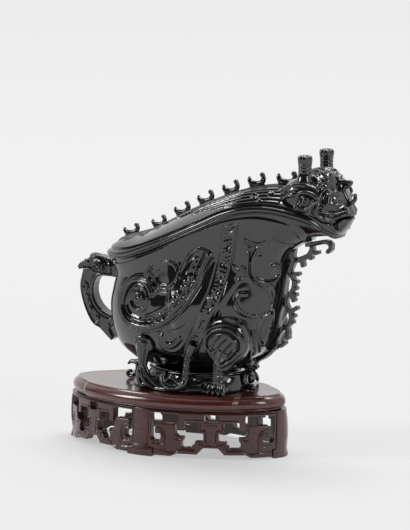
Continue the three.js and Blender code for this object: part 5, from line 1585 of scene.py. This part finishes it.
# %% Floor
bpy.ops.object.select_all(action="DESELECT")
bpy.ops.mesh.primitive_plane_add(size=24, location=(0, 0, 0))
floor_sheet = bpy.context.object
floor_sheet.name = "floor"
bpy.ops.object.mode_set(mode="EDIT")
bpy.ops.mesh.subdivide(number_cuts=8)
bpy.ops.object.mode_set(mode="OBJECT")
paper = bpy.data.materials.new("matt_white_paper")
paper.use_nodes = True
paper_tree = paper.node_tree
paper_tree.nodes.clear()
matt = add_node(paper_tree, "ShaderNodeBsdfDiffuse", Color=linear("#c2c2c2"))
glow = add_node(paper_tree, "ShaderNodeEmission", Color=linear("#ededed"), Strength=1.08)
ray = add_node(paper_tree, "ShaderNodeLightPath")
seen = ray.outputs["Is Camera Ray"]
for other in ("Is Glossy Ray", "Is Transmission Ray"):
    seen = add_node(paper_tree, "ShaderNodeMath", {0: seen, 1: ray.outputs[other]},
                    operation="MAXIMUM").outputs[0]
# what a lens or a mirror sees of the paper glows, more so from 0.4 to 1.4 m away
spot = add_node(paper_tree, "ShaderNodeTexCoord").outputs["Object"]
away = add_node(paper_tree, "ShaderNodeVectorMath", {0: spot}, operation="LENGTH")
glow_share = add_node(paper_tree, "ShaderNodeMapRange", {"Value": away.outputs["Value"]},
                      From_Min=0.4, From_Max=1.4, To_Min=0.5, To_Max=0.76)
share = add_node(paper_tree, "ShaderNodeMath", {0: seen, 1: glow_share.outputs[0]}, operation="MULTIPLY")
mix = add_node(paper_tree, "ShaderNodeMixShader", {0: share.outputs[0], 1: matt.outputs[0],
                                                   2: glow.outputs[0]})
add_node(paper_tree, "ShaderNodeOutputMaterial", {"Surface": mix.outputs[0]})
floor_sheet.data.materials.append(paper)
print("the floor is", round(floor_sheet.dimensions.x, 1), "m wide")

# %% The room around
world = bpy.data.worlds.new("studio")
bpy.context.scene.world = world
world.use_nodes = True
room = world.node_tree
room.nodes.clear()
# a direction is dark as far as it leans to the front, unless it looks nearly straight up
direction = add_node(room, "ShaderNodeTexCoord").outputs["Generated"]
towards = add_node(room, "ShaderNodeVectorMath", {0: direction}, operation="DOT_PRODUCT")
towards.inputs[1].default_value = (0, -1, 0)
in_front = add_node(room, "ShaderNodeMapRange", {"Value": towards.outputs["Value"]},
                    interpolation_type="SMOOTHSTEP", From_Min=-0.15, From_Max=0.2)
height = add_node(room, "ShaderNodeSeparateXYZ", {0: direction}).outputs["Z"]
low_down = add_node(room, "ShaderNodeMapRange", {"Value": height},
                    interpolation_type="SMOOTHSTEP", From_Min=0.98, From_Max=0.8)
dark_part = add_node(room, "ShaderNodeMath", {0: in_front.outputs[0], 1: low_down.outputs[0]},
                     operation="MULTIPLY")
level = add_node(room, "ShaderNodeMapRange", {"Value": dark_part.outputs[0]}, To_Min=0.8, To_Max=0.05)
around = add_node(room, "ShaderNodeBackground", {"Strength": level.outputs[0]}, Color=(1, 1, 1, 1))
backdrop = add_node(room, "ShaderNodeBackground", Color=linear("#eeeeee"), Strength=1.0)
camera_ray = add_node(room, "ShaderNodeLightPath").outputs["Is Camera Ray"]
shown = add_node(room, "ShaderNodeMixShader", {0: camera_ray, 1: around.outputs[0],
                                               2: backdrop.outputs[0]})
add_node(room, "ShaderNodeOutputWorld", {"Surface": shown.outputs[0]})
print("the room is darker behind the camera")

# %% Softboxes
LIT_POINT = Vector((0, 0, 0.12))


def softbox(name, place, size, power):
    light = bpy.data.lights.new(name, "AREA")
    light.shape = "RECTANGLE"
    light.size, light.size_y = size
    light.energy = power
    lamp = bpy.data.objects.new(name, light)
    lamp.location = place
    lamp.rotation_euler = (Vector(place) - LIT_POINT).to_track_quat("Z", "Y").to_euler()
    link_object(lamp)


softbox("softbox_top", (0.0, 1.2, 4.2), (2.7, 1.8), 150)
softbox("softbox_left", (-3.6, -2.7, 2.7), (1.3, 2.4), 118)
softbox("softbox_right", (4.2, -1.8, 2.4), (1.0, 2.4), 55)
bpy.context.scene.view_settings.view_transform = "Standard"
print("three softboxes are hung")
